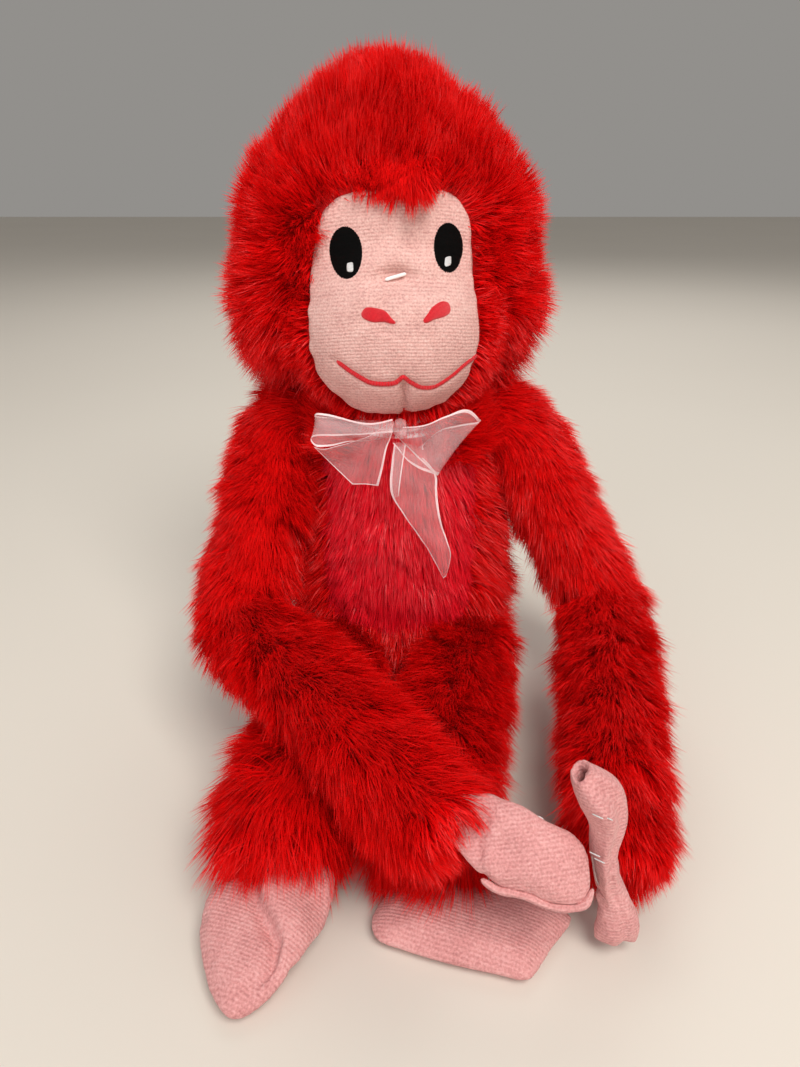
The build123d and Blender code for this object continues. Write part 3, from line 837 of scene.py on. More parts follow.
def make_features():
    """Eyes, glints, nostrils, mouth and the tag fastener's bar."""
    for side, (x, z, rx, rz, tilt) in EYES.items():
        eye = ellipse((x, z + FACE_SHIFT), (rx, rz), tilt, 96)
        style = dict(jag=0.035, seed=3)
        stitched_patch(f"eye_{side}_threads", eye, BLACK, "black_thread", f"eye_{side}", 0.75, **style)
        glint = [(-1.0, -1.3), (0.2, -1.5), (1.0, -1.1), (1.1, 0.5), (0.9, 1.3), (-0.3, 1.2), (-1.1, 0.7)]
        way = 1.0 if side == "right" else -0.35
        spot = closed_curve([(x + way * 1.6 + gx, z + FACE_SHIFT - 4.3 + gz) for gx, gz in glint], 36)
        style = dict(rings=5, base=0.72, seed=4)
        stitched_patch(f"glint_{side}_threads", spot, WHITE, "white_thread", f"eye_glint_{side}", 0.35, **style)
    for side, corners in NOSTRILS.items():
        line = closed_curve([(x, z + FACE_SHIFT) for x, z in corners], 80)
        style = dict(jag=0.03, angle=80, seed=5)
        stitched_patch(f"nostril_{side}_threads", line, RED, "red_thread", f"nostril_{side}", 0.7, **style)
    make_mouth()
    make_tag_bar()


def make_mouth():
    """The mouth: a corded line of satin stitch, with its stitches standing across it."""
    around = 12
    line = smooth_curve([(x, MUZZLE_CENTRE[2] + z) for x, z in MOUTH_POINTS], 420)
    path = on_face(line[:, 0], line[:, 1], 0.15)
    length = run_length(path)
    ends = smooth_step(0, 1.2, length) * smooth_step(0, 1.2, length[-1] - length)
    radii = (0.42 + 0.40 * ends) * (1 + 0.10 * np.sin(length * 2 * np.pi / 0.55))
    points, faces = capped_tube(path, radii, around=around, flat=0.75, up=(0, -1, 0))
    girth = np.tile(np.arange(around) / around * 4.0, len(path))
    uv = np.vstack([np.stack([np.repeat(length, around), girth], 1), [[0, 0], [length[-1], 0]]])
    obj = new_mesh("mouth_threads", points, faces, [RED], uv=uv)
    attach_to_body(obj, "head")
    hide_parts("mouth_stitching")


def make_tag_bar():
    """The bar of a swing-tag fastener, lying in the dimple on the bridge of the nose."""
    start, end = (-4.9, MUZZLE_CENTRE[2] + 17.9), (2.2, MUZZLE_CENTRE[2] + 20.2)
    rows = 16
    chord = np.linspace(on_face(*start, 0.5), on_face(*end, 0.5), rows)
    path = chord + np.array([0, 0.35, 0]) * np.sin(np.linspace(0, np.pi, rows))[:, None]
    ends = np.sqrt(np.clip(1 - np.abs(np.linspace(-1, 1, rows)) ** 14, 0.05, 1))
    points, faces = capped_tube(path, 0.58 * ends, around=14, flat=0.8, up=(0, -1, 0))
    obj = new_mesh("tag_fastener_bar", points, faces, [PLASTIC], uv=np.zeros((len(points), 2)))
    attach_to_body(obj, "head")
    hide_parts("tag_bar")


def make_ears():
    """Two ears: a cupped knit front sewn to a plush back, standing out at the sides of the head."""
    for side, way in (("left", 1), ("right", -1)):
        low, high = box_mm(f"ear_front_{side}")
        root = np.array([low[0] if way > 0 else high[0], low[1], (low[2] + high[2]) / 2])
        tall, wide = (high[2] - low[2]) / 2, (high[0] - low[0]) + 2.0
        turn = turns(64)
        outline = np.stack([0.45 * wide + 0.62 * wide * np.cos(turn), tall * np.sin(turn)], 1)
        layers = (("front", -0.8, KNIT, "pink_knit"), ("back", 0.8, BACKING, "red_plush"))
        for layer, offset, made, slot in layers:
            flat, faces, share = polar_patch(outline, 18)
            cup = 2.4 * (1 - share**2) + 1.1 * smooth_step(0.78, 0.92, share)
            puff = offset * (1 - share**3)
            points = np.stack([root[0] + way * flat[:, 0], root[1] + 1.5 + cup + puff, root[2] + flat[:, 1]], 1)
            points[:, 1] -= 0.15 * np.abs(flat[:, 0])
            obj = new_mesh(f"ear_{layer}_cloth_{side}", points, faces, [made], uv=flat)
            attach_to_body(obj, "head")
            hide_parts(f"ear_{layer}_{side}")
            if layer == "back":
                back = Ground().add(points, faces, (0, 0.3, -0.3), 6.0)
                style = {**LONG, "width": 0.26}
                pile(f"ear_pile_{side}", back, 2600, 60 + way, riding("head"), **style)


# ---- torso ----
# The body's rings: height, half width and half depth.
TORSO_RINGS = [
    (0.0, 29.5, 20.5), (5.0, 34.0, 24.0), (24.0, 37.0, 26.5), (48.0, 38.0, 29.0),
    (72.0, 35.5, 28.5), (93.0, 31.5, 26.0), (107.0, 27.5, 23.0), (118.0, 23.0, 20.5),
]


def make_torso():
    """The body's cloth, from the seat to the neck."""
    rows, around = 60, 90
    heights, half_widths, half_depths = np.array(TORSO_RINGS).T
    z = np.linspace(0.0, 1.0, rows)
    wide = np.interp(z, heights / heights[-1], half_widths) - 0.8
    deep = np.interp(z, heights / heights[-1], half_depths) - 0.8
    turn = turns(around)
    level = np.tile(z[:, None] * (NECK_Z - 1.2) + 0.2, (1, around))
    points = np.stack([wide[:, None] * np.cos(turn), deep[:, None] * np.sin(turn), level], -1).reshape(-1, 3)
    faces = grid_faces(rows, around, wrap=True)
    bottom = [tuple(range(around - 1, -1, -1))]
    obj = new_mesh("torso_cloth", points, list(map(tuple, faces)) + bottom, [BACKING])
    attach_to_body(obj, "torso")
    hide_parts("torso_back_panel", "chest_panel")

    def chest(p):
        """1 on the chest panel and 0 off it."""
        across = smooth_step(27.0, 24.0, np.abs(p[:, 0]))
        height = smooth_step(33.0, 37.0, p[:, 2])
        return across * height * (p[:, 1] < FACE_FRONT)

    def comb(p, normals):
        """Downwards, and a little outwards."""
        down = np.tile(np.array([0.0, 0.0, -0.8]), (len(p), 1))
        down[:, 0] += 0.01 * p[:, 0]
        return fall(down, normals)

    def sides(p):
        """Longer pile at the sides."""
        return 11.0 + 4.5 * smooth_step(20.0, 32.0, np.abs(p[:, 0]))

    def shoulders(p):
        """1 on the shoulders, where the collar of long pile grows."""
        return smooth_step(96.0, 104.0, p[:, 2]) * smooth_step(10.0, 20.0, np.abs(p[:, 0]))

    body = Ground().add(points, faces, comb, sides, lambda p: np.clip(1 - chest(p), 0.0, 1.0) * (p[:, 2] > 1.0))
    style = {**LONG, "lean": 0.8, "rough": 0.09, "tuft": 0.11}
    pile("torso_pile", body, 60000, 21, riding("torso"), **style)
    collar = Ground().add(points, faces, (0.0, 0.0, 0.6), 17.0, shoulders)
    pile("collar_pile", collar, 14000, 23, riding("torso"), **{**LONG, "droop": 0.0, "lean": 0.7})
    front = Ground().add(points, faces, comb, 10.5, chest)
    style = dict(width=0.34, lean=1.9, droop=0.6, gather=0.62, per_clump=45, rough=0.05, tuft=0.07)
    pile("chest_pile", front, 22000, 22, riding("torso"), CHEST_PILE, "chest_plush", **style)


def make_label():
    """A blank folded care label in the back seam."""
    low, high = box_mm("care_label")
    rows, columns = 14, 10
    u, v = np.meshgrid(np.linspace(0, 1, rows), np.linspace(0, 1, columns), indexing="ij")
    x = low[0] + (high[0] - low[0]) * v
    z = high[2] - (high[2] - low[2]) * u
    layers = []
    for offset in (0.0, 0.45):
        y = high[1] + 4.5 * u + offset + 0.5 * np.sin(3.0 * v + 2.0 * u)
        layers.append(np.stack([x, y, z], -1).reshape(-1, 3))
    faces = np.vstack([grid_faces(rows, columns), grid_faces(rows, columns, first=rows * columns)[:, ::-1]])
    front, back = (rows - 1) * columns, rows * columns + (rows - 1) * columns
    fold = [(front + c, front + c + 1, back + c + 1, back + c) for c in range(columns - 1)]
    obj = new_mesh("care_label_cloth", np.vstack(layers), list(map(tuple, faces)) + fold, [LABEL])
    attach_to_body(obj, "torso")
    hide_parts("care_label")


# ---- arms and legs ----
def limb_comb(path, cuff, strength=0.9):
    """Pile on a limb leans along it, towards its far end, and more so at its cuff."""
    stronger = 1 + (cuff - 1) * smooth_step(0.75, 0.95, np.linspace(0, 1, len(path)))
    heading = unit(np.gradient(path, axis=0)) * stronger[:, None]

    def comb(points, normals):
        nearest = ((points[:, None] - path[None, ::3]) ** 2).sum(2).argmin(1)
        return fall(heading[::3][nearest] * strength, normals)

    return comb


def outside_torso(points):
    """0 for what lies inside the body's cloth, where no pile shows."""
    inside = (points[:, 0] / 35.0) ** 2 + (points[:, 1] / 26.0) ** 2 < 1.0
    return np.where(inside & (points[:, 2] < NECK_Z), 0.0, 1.0)


def limb_cloth(limb, path, radii, flat, ends, attach, count, seed, length, cuff=1.0, **style):
    """A limb's cloth, in place of its sleeve, and its pile."""
    points, faces = capped_tube(path, radii, around=36, flat=flat, ends=ends)
    obj = new_mesh(f"{limb}_cloth", points, faces, [BACKING])
    attach(obj)
    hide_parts(f"{limb}_sleeve")
    cloth = Ground().add(points, faces, limb_comb(path, cuff), length, outside_torso)
    pile(f"{limb}_pile", cloth, count, seed, attach, **{**LONG, **style})


def girths(samples, places, radii):
    """A limb's radii at even steps, given at a few places from 0 to 1."""
    return np.interp(np.linspace(0, 1, samples), places, radii)


def make_arm(side, way, seed):
    """One arm: a sleeve from the shoulder to the middle of the upper arm, and one on to the wrist."""
    shoulder, elbow, wrist = (PIVOT[f"{joint}_{side}"] for joint in ("shoulder", "elbow", "wrist"))
    upper_arm, forearm = f"upper_arm_{side}", f"forearm_{side}"
    style = dict(rough=0.09, tuft=0.10)
    inner = shoulder + np.array([-way * 22.0, 2.0, 8.0])
    upper = unit(elbow - shoulder)
    fore = unit(wrist - elbow)
    before, after = elbow - upper * 17.0, elbow + fore * 17.0
    rounded = elbow + (before + after - 2 * elbow) * 0.22
    middle = shoulder + (elbow - shoulder) * 0.5
    first = smooth_curve([inner, shoulder, middle], 40)
    radii = girths(len(first), [0, 0.45, 1], [9.0, 11.0, 11.0])
    attach = bending()
    limb_cloth(upper_arm, first, radii, 1.0, (True, False), attach, 26000, seed, 14.0, lean=1.25, **style)

    def length(p):
        """Shorter pile towards the wrist."""
        return 14.5 - 4.5 * smooth_step(16.0, 5.0, np.linalg.norm(p - wrist, axis=1))

    second = smooth_curve([middle, before, rounded, after, elbow + (wrist - elbow) * 0.6, wrist], 110)
    radii = girths(len(second), [0, 0.3, 0.45, 0.85, 1], [11.0, 10.8, 11.2, 10.6, 8.6])
    attach = bending()
    limb_cloth(forearm, second, radii, 1.0, (False, True), attach, 58000, seed + 1, length, lean=1.4, **style)


def make_leg(side, seed):
    """One leg: a sleeve from inside the body's cloth to the ankle."""
    hip, ankle = PIVOT[f"hip_{side}"], PIVOT[f"ankle_{side}"]
    heading = unit(ankle - hip)
    inner = hip - heading * 16.0 + np.array([0, 6.0, 2.0])
    path = smooth_curve([inner, hip, hip + (ankle - hip) * 0.5, ankle + heading * 3.0], 90)
    radii = girths(len(path), [0, 0.25, 0.5, 0.8, 1], [13.0, 14.0, 15.0, 15.0, 12.0])
    path[:, 2] = np.maximum(path[:, 2], radii + 1.0)
    attach = bending()

    def length(p):
        """Longer pile over the foot."""
        return 12.5 + 10.0 * smooth_step(80.0, 114.0, -p[:, 1])

    style = dict(lean=1.15, droop=0.42, rough=0.10, tuft=0.11)
    limb_cloth(f"leg_{side}", path, radii, 0.95, (True, True), attach, 42000, seed, length, cuff=1.6, **style)


# ---- hands and feet ----
SIM_SCALE = 18.0  # the cloth solver likes pieces of cushion size
VOXEL_MM = 1.25


def applied(obj):
    """Turns an object's modifiers into its mesh."""
    graph = bpy.context.evaluated_depsgraph_get()
    graph.update()
    old = obj.data
    obj.data = bpy.data.meshes.new_from_object(obj.evaluated_get(graph))
    obj.modifiers.clear()
    bpy.data.meshes.remove(old)


def coordinates(obj):
    """A mesh object's points, in metres."""
    found = np.empty(len(obj.data.vertices) * 3, np.float32)
    obj.data.vertices.foreach_get("co", found)
    return found.reshape(-1, 3).astype(float)


def set_coordinates(obj, points):
    """Moves a mesh object's points, in metres."""
    obj.data.vertices.foreach_set("co", np.asarray(points, np.float32).ravel())
    obj.data.update()


def inflate(obj, held_at, reach, cap_mm, pressure, voxel_mm=VOXEL_MM):
    """Fills a sewn piece with the cloth solver; points near `held_at` stay where the limb holds them."""
    remesh = obj.modifiers.new("Remesh", "REMESH")
    remesh.mode = "VOXEL"
    remesh.voxel_size = voxel_mm * MM
    applied(obj)
    start = coordinates(obj)
    set_coordinates(obj, start * SIM_SCALE)
    hold = obj.vertex_groups.new(name="hold")
    distance = np.linalg.norm(start / MM - held_at, axis=1)
    near = smooth_step(reach * 1.6, reach, distance)
    for index in np.nonzero(near > 0.02)[0]:
        hold.add([int(index)], float(near[index]), "REPLACE")
    cloth = obj.modifiers.new("Cloth", "CLOTH")
    cloth.settings.quality = 6
    cloth.settings.use_pressure = True
    cloth.settings.uniform_pressure_force = pressure
    cloth.settings.vertex_group_mass = "hold"
    cloth.settings.tension_stiffness = 12.0
    cloth.settings.compression_stiffness = 4.0
    cloth.settings.bending_stiffness = 0.4
    cloth.settings.shrink_min = 0.02
    cloth.settings.effector_weights.gravity = 0.0
    scene = bpy.context.scene
    for step in range(1, 21):
        scene.frame_set(step)
    graph = bpy.context.evaluated_depsgraph_get()
    filled = obj.evaluated_get(graph)
    moved = np.empty(len(start) * 3, np.float32)
    filled.data.vertices.foreach_get("co", moved)
    moved = moved.reshape(-1, 3).astype(float) / SIM_SCALE - start
    length = np.linalg.norm(moved, axis=1, keepdims=True)
    capped = moved * np.minimum(1.0, cap_mm * MM / np.maximum(length, 1e-9))
    obj.modifiers.clear()
    obj.vertex_groups.clear()
    scene.frame_set(1)
    points = start + np.nan_to_num(capped)
    points[:, 2] = np.maximum(points[:, 2], 0.15 * MM)
    set_coordinates(obj, points)
    finer = obj.modifiers.new("Finer", "SUBSURF")
    finer.levels = finer.render_levels = 1
    applied(obj)
    obj.data.shade_smooth()


def map_cloth(obj, origin, across, along):
    """Lays the knit's map on a piece by looking at it squarely; across and along are directions."""
    points = coordinates(obj) / MM - origin
    layer = obj.data.uv_layers.get("Cloth") or obj.data.uv_layers.new(name="Cloth")
    corner = np.empty(len(obj.data.loops), np.int32)
    obj.data.loops.foreach_get("vertex_index", corner)
    uv = np.stack([points @ np.asarray(along), points @ np.asarray(across)], 1)
    layer.uv.foreach_set("vector", uv[corner].astype(np.float32).ravel())


def sewn_pad(name, outline, top, crown, rim, sag=None):
    """A stuffed piece of two layers sewn round its outline, with a flat seam standing out at its rim."""
    outline = np.asarray(outline, float)
    top = unit(np.asarray(top, float))
    flat, faces, share = polar_patch(outline, 16)
    count = len(flat)
    dome = crown * np.clip(1 - share**2.6, 0, 1) ** 0.62 + rim
    lift = dome[:, None] * top
    bend = np.zeros_like(flat) if sag is None else sag(flat, share)
    points = np.vstack([flat + bend + lift, flat + bend - lift])
    side = len(outline)
    edge = count - side
    all_faces = list(faces) + [tuple(index + count for index in reversed(face)) for face in faces]
    for column in range(side):
        after = (column + 1) % side
        all_faces.append((edge + column, edge + column + count, edge + after + count, edge + after))
    return new_mesh(name, points, all_faces, [LIMB_KNIT])


def plane_axes(normal, along):
    """Two directions in a plane, the first as near as it can be to `along`."""
    normal = unit(np.asarray(normal, float))
    first = np.asarray(along, float)
    first = unit(first - normal * (first @ normal))
    return first, np.cross(normal, first)


def seam_roll(name, line, radius, attach, made=None, waves=0.0):
    """A rolled seam along an edge of a pad."""
    around = 14
    radii = radius * (1 + 0.08 * np.sin(np.linspace(0, waves * 2 * np.pi, len(line))))
    ends = np.sqrt(np.clip(1 - np.abs(np.linspace(-1, 1, len(line))) ** 10, 0.02, 1))
    points, faces = capped_tube(line, radii * ends, around=around)
    length = run_length(line)
    girth = np.tile(np.linspace(0, 2 * np.pi * radius, around), len(line))
    uv = np.vstack([np.stack([np.repeat(length, around), girth], 1), [[0, 0], [length[-1], 0]]])
    obj = new_mesh(name, points, faces, [made or LIMB_KNIT], uv=uv)
    attach(obj)
    return obj


RIGHT_MITT = [
    (11.0, -142.5, 42.0), (14.5, -139.5, 49.5), (21.5, -140.0, 51.5), (26.5, -140.0, 51.0),
    (32.5, -141.5, 49.5), (38.0, -143.5, 47.0), (44.5, -145.5, 45.0), (48.5, -148.5, 42.0),
    (49.5, -152.0, 37.5), (49.0, -155.0, 33.5), (46.5, -157.0, 30.5), (42.5, -157.5, 29.5),
    (38.0, -157.0, 29.5), (32.5, -155.5, 31.0), (25.0, -153.5, 32.0), (21.0, -152.0, 34.0),
    (16.5, -149.0, 38.0),
]
MITT_SEAM = [
    (20.5, -152.5, 34.5), (24.5, -154.0, 32.5), (28.0, -154.5, 32.0), (32.5, -155.5, 31.5),
    (38.0, -157.0, 30.0), (43.0, -157.5, 30.0), (46.5, -157.0, 31.0), (48.5, -155.0, 34.0),
]
# The left mitt stands on its edge: its middle line (x, z), half its width and half its depth.
LEFT_MITT = [
    (44.5, 64.0, 3.2, 4.0), (47.0, 61.0, 4.6, 5.5), (50.0, 57.0, 5.6, 6.5), (52.0, 52.0, 4.8, 6.5),
    (52.5, 46.5, 3.5, 6.5), (52.5, 40.0, 2.8, 6.0), (53.5, 33.5, 2.7, 6.0), (55.0, 26.5, 2.8, 5.5),
    (57.0, 19.5, 3.8, 5.0), (59.0, 13.0, 5.6, 4.5), (59.5, 8.0, 6.2, 4.0), (59.5, 4.5, 5.8, 3.0),
]
LEFT_FOOT_HEIGHT = 3.5
LEFT_FOOT_OUTLINE = [
    (-9.0, -138.0), (-5.0, -130.0), (0.5, -121.0), (12.0, -121.5), (24.0, -126.0), (38.0, -131.0),
    (48.5, -136.5), (49.5, -140.5), (43.0, -148.5), (37.0, -156.5), (33.5, -158.5), (26.0, -157.0),
    (12.0, -153.5), (-1.0, -149.0), (-8.0, -145.0),
]
LEFT_FOOT = [(x, y, LEFT_FOOT_HEIGHT) for x, y in LEFT_FOOT_OUTLINE]
RIGHT_FOOT = [
    (-19.0, -131.0, 11.0), (-28.0, -127.5, 12.5), (-42.0, -129.5, 11.5), (-54.5, -135.0, 9.0),
    (-56.5, -144.0, 7.0), (-54.0, -154.0, 5.5), (-49.5, -163.0, 4.5), (-43.5, -169.5, 4.0),
    (-37.0, -168.0, 4.0), (-29.0, -162.0, 5.0), (-24.0, -154.0, 6.0), (-20.0, -144.0, 8.0),
]


def make_mitts():
    """The mitts: pink knit pads gathered where they meet the sleeves."""
    normal = (-0.09, -0.79, 0.61)
    outline = closed_curve(RIGHT_MITT, 96)
    right = sewn_pad("mitt_right", outline, normal, 2.2, 0.8, mitt_curl)
    finish_mitt(right, "right", outline.mean(0), normal, 1.0, 2.5)
    left, middle = standing_mitt()
    finish_mitt(left, "left", middle, (0.0, -1.0, 0.1), 0.8, 2.5)
    make_mitt_seams()


def finish_mitt(obj, side, middle, normal, voxel_mm, pressure):
    """Fills a mitt, lays its knit and bakes its place into its mesh."""
    wrist = PIVOT[f"wrist_{side}"]
    inflate(obj, wrist, 9.0, 1.4, pressure, voxel_mm)
    first, second = plane_axes(normal, (1.0, 0.0, 0.15))
    map_cloth(obj, middle, second, first)
    bending()(obj)
    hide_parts(f"hand_back_{side}", f"hand_palm_{side}")


def standing_mitt():
    """The left mitt, folded along its length, seen edge on, with a rolled rim round its open top."""
    line = smooth_curve(LEFT_MITT, 70)
    around = 56
    turn = turns(around)
    middle = np.stack([line[:, 0], np.full(len(line), -145.5), line[:, 1]], 1)
    heading = unit(np.gradient(middle, axis=0))
    side = unit(np.cross(heading, np.array([0.0, -1.0, 0.0])))
    upper = smooth_step(46.0, 56.0, line[:, 1])[:, None]
    lower = smooth_step(24.0, 12.0, line[:, 1])[:, None]
    front = np.pi / 2 + 0.25 * np.sin(np.linspace(0, 7.0, len(line)))[:, None]
    groove = (0.30 + 0.10 * upper + 0.08 * lower) * bump(turn[None], front + 0.30 + 0.2 * upper, 0.30)
    ridge = 0.14 * bump(turn[None], front - 0.35, 0.30) + 0.10 * bump(turn[None], front + 0.95, 0.3)
    shape = (1 - groove + ridge) * (1 + 0.02 * np.sin(3 * turn[None] + line[:, 1:2] * 0.4))
    points = middle[:, None] + (line[:, 2:3] * np.cos(turn)[None] * shape)[..., None] * side[:, None]
    points[..., 1] -= line[:, 3:4] * np.sin(turn)[None] * shape
    core = middle[:14, None]
    inside = core + (points[:14] - core) * 0.62
    rim = points[0] + np.array([-0.3, -0.2, 0.9]) + 0.05 * (points[0] - middle[0])
    lip = (rim + inside[0]) / 2 + np.array([-0.1, 0.0, 0.8])
    rings = np.concatenate([inside[::-1], lip[None], rim[None], points])
    rows = len(rings)
    flat = np.vstack([rings.reshape(-1, 3), middle[13], middle[-1] - np.array([0.0, 0.0, 0.6])])
    faces = close_ends([tuple(quad) for quad in grid_faces(rows, around, wrap=True)], rows, around)
    return new_mesh("mitt_left", flat, faces, [LIMB_KNIT]), middle[30]


def mitt_curl(points, share):
    """The right mitt's tip curls down a little, and its cloth puckers along the seam."""
    bend = np.zeros_like(points)
    bend[:, 2] -= 1.2 * smooth_step(36.0, 50.0, points[:, 0])
    bend[:, 2] += 0.5 * bump(share, 0.86, 0.06) * np.sin(points[:, 0] * 1.3)
    tip_fold = 1.1 * bump(points[:, 0] * 0.8 + points[:, 2] * 0.6, 52.0, 4.0)
    bend[:, 2] += tip_fold - 0.9 * bump(points[:, 0], 27.0, 3.5)
    return bend


def make_mitt_seams():
    """A rolled seam along the right mitt's lower rim, and small white stitches at the left mitt's waist."""
    seam_roll("mitt_right_seam", smooth_curve(MITT_SEAM, 70), 1.05, riding("hand_right"), waves=5.0)
    left = riding("hand_left")
    for index, (x, z) in enumerate(((48.0, 55.3), (50.4, 54.8), (48.6, 42.8), (50.0, 40.6)), 1):
        stitch = [(x - 1.2, -151.2, z - 0.2), (x, -152.6, z + 0.25), (x + 1.2, -153.2, z + 0.1)]
        seam_roll(f"mitt_left_stitch_{index}", smooth_curve(stitch, 10), 0.17, left, WHITE)


def make_feet():
    """The feet: flat stuffed knit pads sewn round their outlines, the right one folded."""
    for side, corners, crown in (("left", LEFT_FOOT, 3.0), ("right", RIGHT_FOOT, 3.2)):
        ankle = PIVOT[f"ankle_{side}"]
        outline = closed_curve(corners, 110)
        attach = bending()
        obj = sewn_pad(f"foot_{side}", outline, (0, 0, 1), crown, 0.7, foot_fold if side == "right" else None)
        inflate(obj, ankle, 8.0, 1.2, 2.5, 1.0)
        map_cloth(obj, outline.mean(0), (0.35, 0.94, 0.0), (0.94, -0.35, 0.0))
        attach(obj)
        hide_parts(f"foot_top_{side}", f"foot_sole_{side}")


# The right foot's fold: x against y.
FOLD_LINE = [(-170, -42), (-160, -31), (-153, -30), (-147, -34), (-141, -38), (-128, -38)]


def foot_fold(points, _):
    """The right foot's inner half is turned up over its outer half, along a line from its top to its tip."""
    bend = np.zeros_like(points)
    line = np.array(FOLD_LINE, float)
    beside = points[:, 0] - np.interp(points[:, 1], line[:, 0], line[:, 1])
    along = smooth_step(-169.0, -158.0, points[:, 1])
    raised = smooth_step(-1.0, 2.2, beside) * smooth_step(16.0, 3.0, beside)
    bend[:, 2] += along * (4.2 * raised - 2.2 * bump(beside, -2.2, 2.0))
    bend[:, 0] -= 1.8 * along * bump(beside, 2.0, 2.0)
    return bend


def make_patches():
    """The fastening patches in the palms: a rounded square of short loops."""
    for side, normal, half, inwards in (
        ("right", (-0.09, -0.79, 0.61), 6.0, 0.0),
        ("left", (-0.96, 0.10, -0.25), 4.6, 1.1),
    ):
        low, high = box_mm(f"hand_patch_{side}")
        middle = (low + high) / 2 + np.array([inwards, 0.0, 0.0])
        turn = turns(48)
        size = half / (np.abs(np.cos(turn)) ** 5 + np.abs(np.sin(turn)) ** 5) ** 0.2
        first, second = plane_axes(normal, (1, 0, 0))
        outline = middle + (size * np.cos(turn))[:, None] * first + (size * np.sin(turn))[:, None] * second
        flat, faces, share = polar_patch(outline, 8)
        points = flat + (0.5 * (1 - share**6))[:, None] * unit(np.array(normal, float))
        obj = new_mesh(f"hand_patch_cloth_{side}", points, faces, [LABEL], uv=(flat - middle)[:, :2])
        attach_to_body(obj, f"hand_{side}")
        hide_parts(f"hand_patch_{side}")


# ---- bow ----
def from_knot(points):
    """The bow's points, whose y is given forwards or backwards from the knot's front."""
    return np.array(points, float) + np.array([0.0, KNOT_LOW[1], 0.0])


def ribbon(name, near, far, rows, flat_size, replaced, seed, cut=None, puff=1.0, ripple=0.35):
    """A length of ribbon between its two edges, with a satin line woven along each.

    `puff` is how far its middle stands forward of its edges, and `cut` is the line of its cut end."""
    columns = 28
    width_mm = flat_size[0] / MM
    first, second = smooth_curve(from_knot(near), rows), smooth_curve(from_knot(far), rows)
    line = 0.6 / width_mm
    inner = np.linspace(line, 1 - line, columns - 2)[1:-1]
    v = np.concatenate([[0.0, line], inner, [1 - line, 1.0]])[None, :, None]
    points = first[:, None] * (1 - v) + second[:, None] * v
    forward = np.cos(np.linspace(0, np.pi * (cut is None), rows))[:, None]
    points[..., 1] -= puff * np.sin(np.pi * v[..., 0]) * forward
    if cut is not None:
        ends = from_knot(cut)
        share = run_length(ends)
        along = np.linspace(0, 1, rows)[:, None, None]
        end = np.stack([np.interp(v.ravel(), share / share[-1], ends[:, k]) for k in range(3)], 1)
        points = points + along**2.5 * (end - points[-1])[None]
    flat = points.reshape(-1, 3)
    away = np.stack([np.zeros(len(flat)), wobble(flat, 11.0, seed), 0.3 * wobble(flat, 9.0, seed + 1)], 1)
    flat = flat + ripple * away
    faces = grid_faces(rows, columns)
    length = run_length((first + second) / 2)
    uv = np.stack([np.repeat(length, columns), np.tile(v.ravel() * width_mm, rows)], 1)
    obj = new_mesh(name, flat, faces, [ORGANZA, SATIN_EDGE], uv=uv)
    band = np.tile(np.arange(columns - 1), rows - 1)
    is_edge = (band == 0) | (band == columns - 2)
    if cut is not None:
        is_edge |= np.repeat(np.arange(rows - 1), columns - 1) == rows - 2
    obj.data.polygons.foreach_set("material_index", is_edge.astype(np.int32))
    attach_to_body(obj, "torso")
    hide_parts(replaced)
    return obj


# The bow: the two edges of each length of ribbon, and where the tails are cut.
LOOP_RIGHT_NEAR = [
    (-2.5, 0, 121), (-11, -2, 120), (-19.5, -3, 122.5), (-26.5, -3.5, 124), (-28.5, -1, 122.5),
    (-26.5, 2.5, 121), (-15, 3, 119.5), (-2.5, 2.5, 119.5),
]
LOOP_RIGHT_FAR = [
    (-2.5, -1, 115), (-11, -4.5, 115), (-16.5, -6.5, 115), (-23.5, -8, 114), (-28, -8, 114),
    (-29, -4, 116), (-18, -1, 115.5), (-2.5, 2, 115.5),
]
TAIL_RIGHT_NEAR = [
    (-2, -2, 121), (-3, -2, 115.5), (-4.5, -2, 111), (-6, -1, 103.5), (-7.5, -0.5, 97),
]
TAIL_RIGHT_FAR = [
    (-4.5, -1.5, 119.5), (-11, -1, 115), (-22, -0.5, 111.5), (-26.5, 0, 110.5), (-29.5, 0.5, 111),
]
TAIL_RIGHT_CUT = [
    (-7.5, -0.5, 97), (-12, 0.5, 97), (-16.5, -0.5, 97.5), (-23, 0.5, 104), (-29.5, 0.5, 111),
]
LOOP_LEFT_NEAR = [
    (1, -1, 118.5), (8, -2, 119.5), (14.5, -3, 122.5), (19.5, -2.5, 124.5), (23.5, -1, 124),
    (26.5, 0.5, 121), (26.5, 3, 119), (15, 3.5, 116.5), (8.5, 2, 111.5), (8, 1.5, 109.5),
]
LOOP_LEFT_FAR = [
    (-1.5, -1, 115.5), (2, -3, 112.5), (6.5, -4, 108), (10, -4, 104.5), (12.5, -2, 101.5),
    (13, 1, 100.5), (11, 2.5, 100.5), (6.5, 2.5, 102.5), (2, 2, 106), (-2.5, 1.5, 112),
]
TAIL_LEFT_NEAR = [
    (-2, 1, 112), (-3, 1, 104.5), (-3.5, 0, 97.5), (-2.5, 0.5, 92), (2, 0.5, 84.5),
    (9, 1, 73.5), (13.5, 1, 65), (16, 1, 59.5),
]
TAIL_LEFT_FAR = [
    (8, 2, 106.5), (12.5, 2, 100.5), (13, 1.5, 95), (13.5, 1, 89.5), (15, 0.5, 81.5),
    (17, 0.5, 75.5), (18.5, 1, 69), (17, 1, 60.5),
]
TAIL_LEFT_CUT = [
    (16, 1, 59.5), (16.5, 1, 60), (17, 1, 60.5),
]


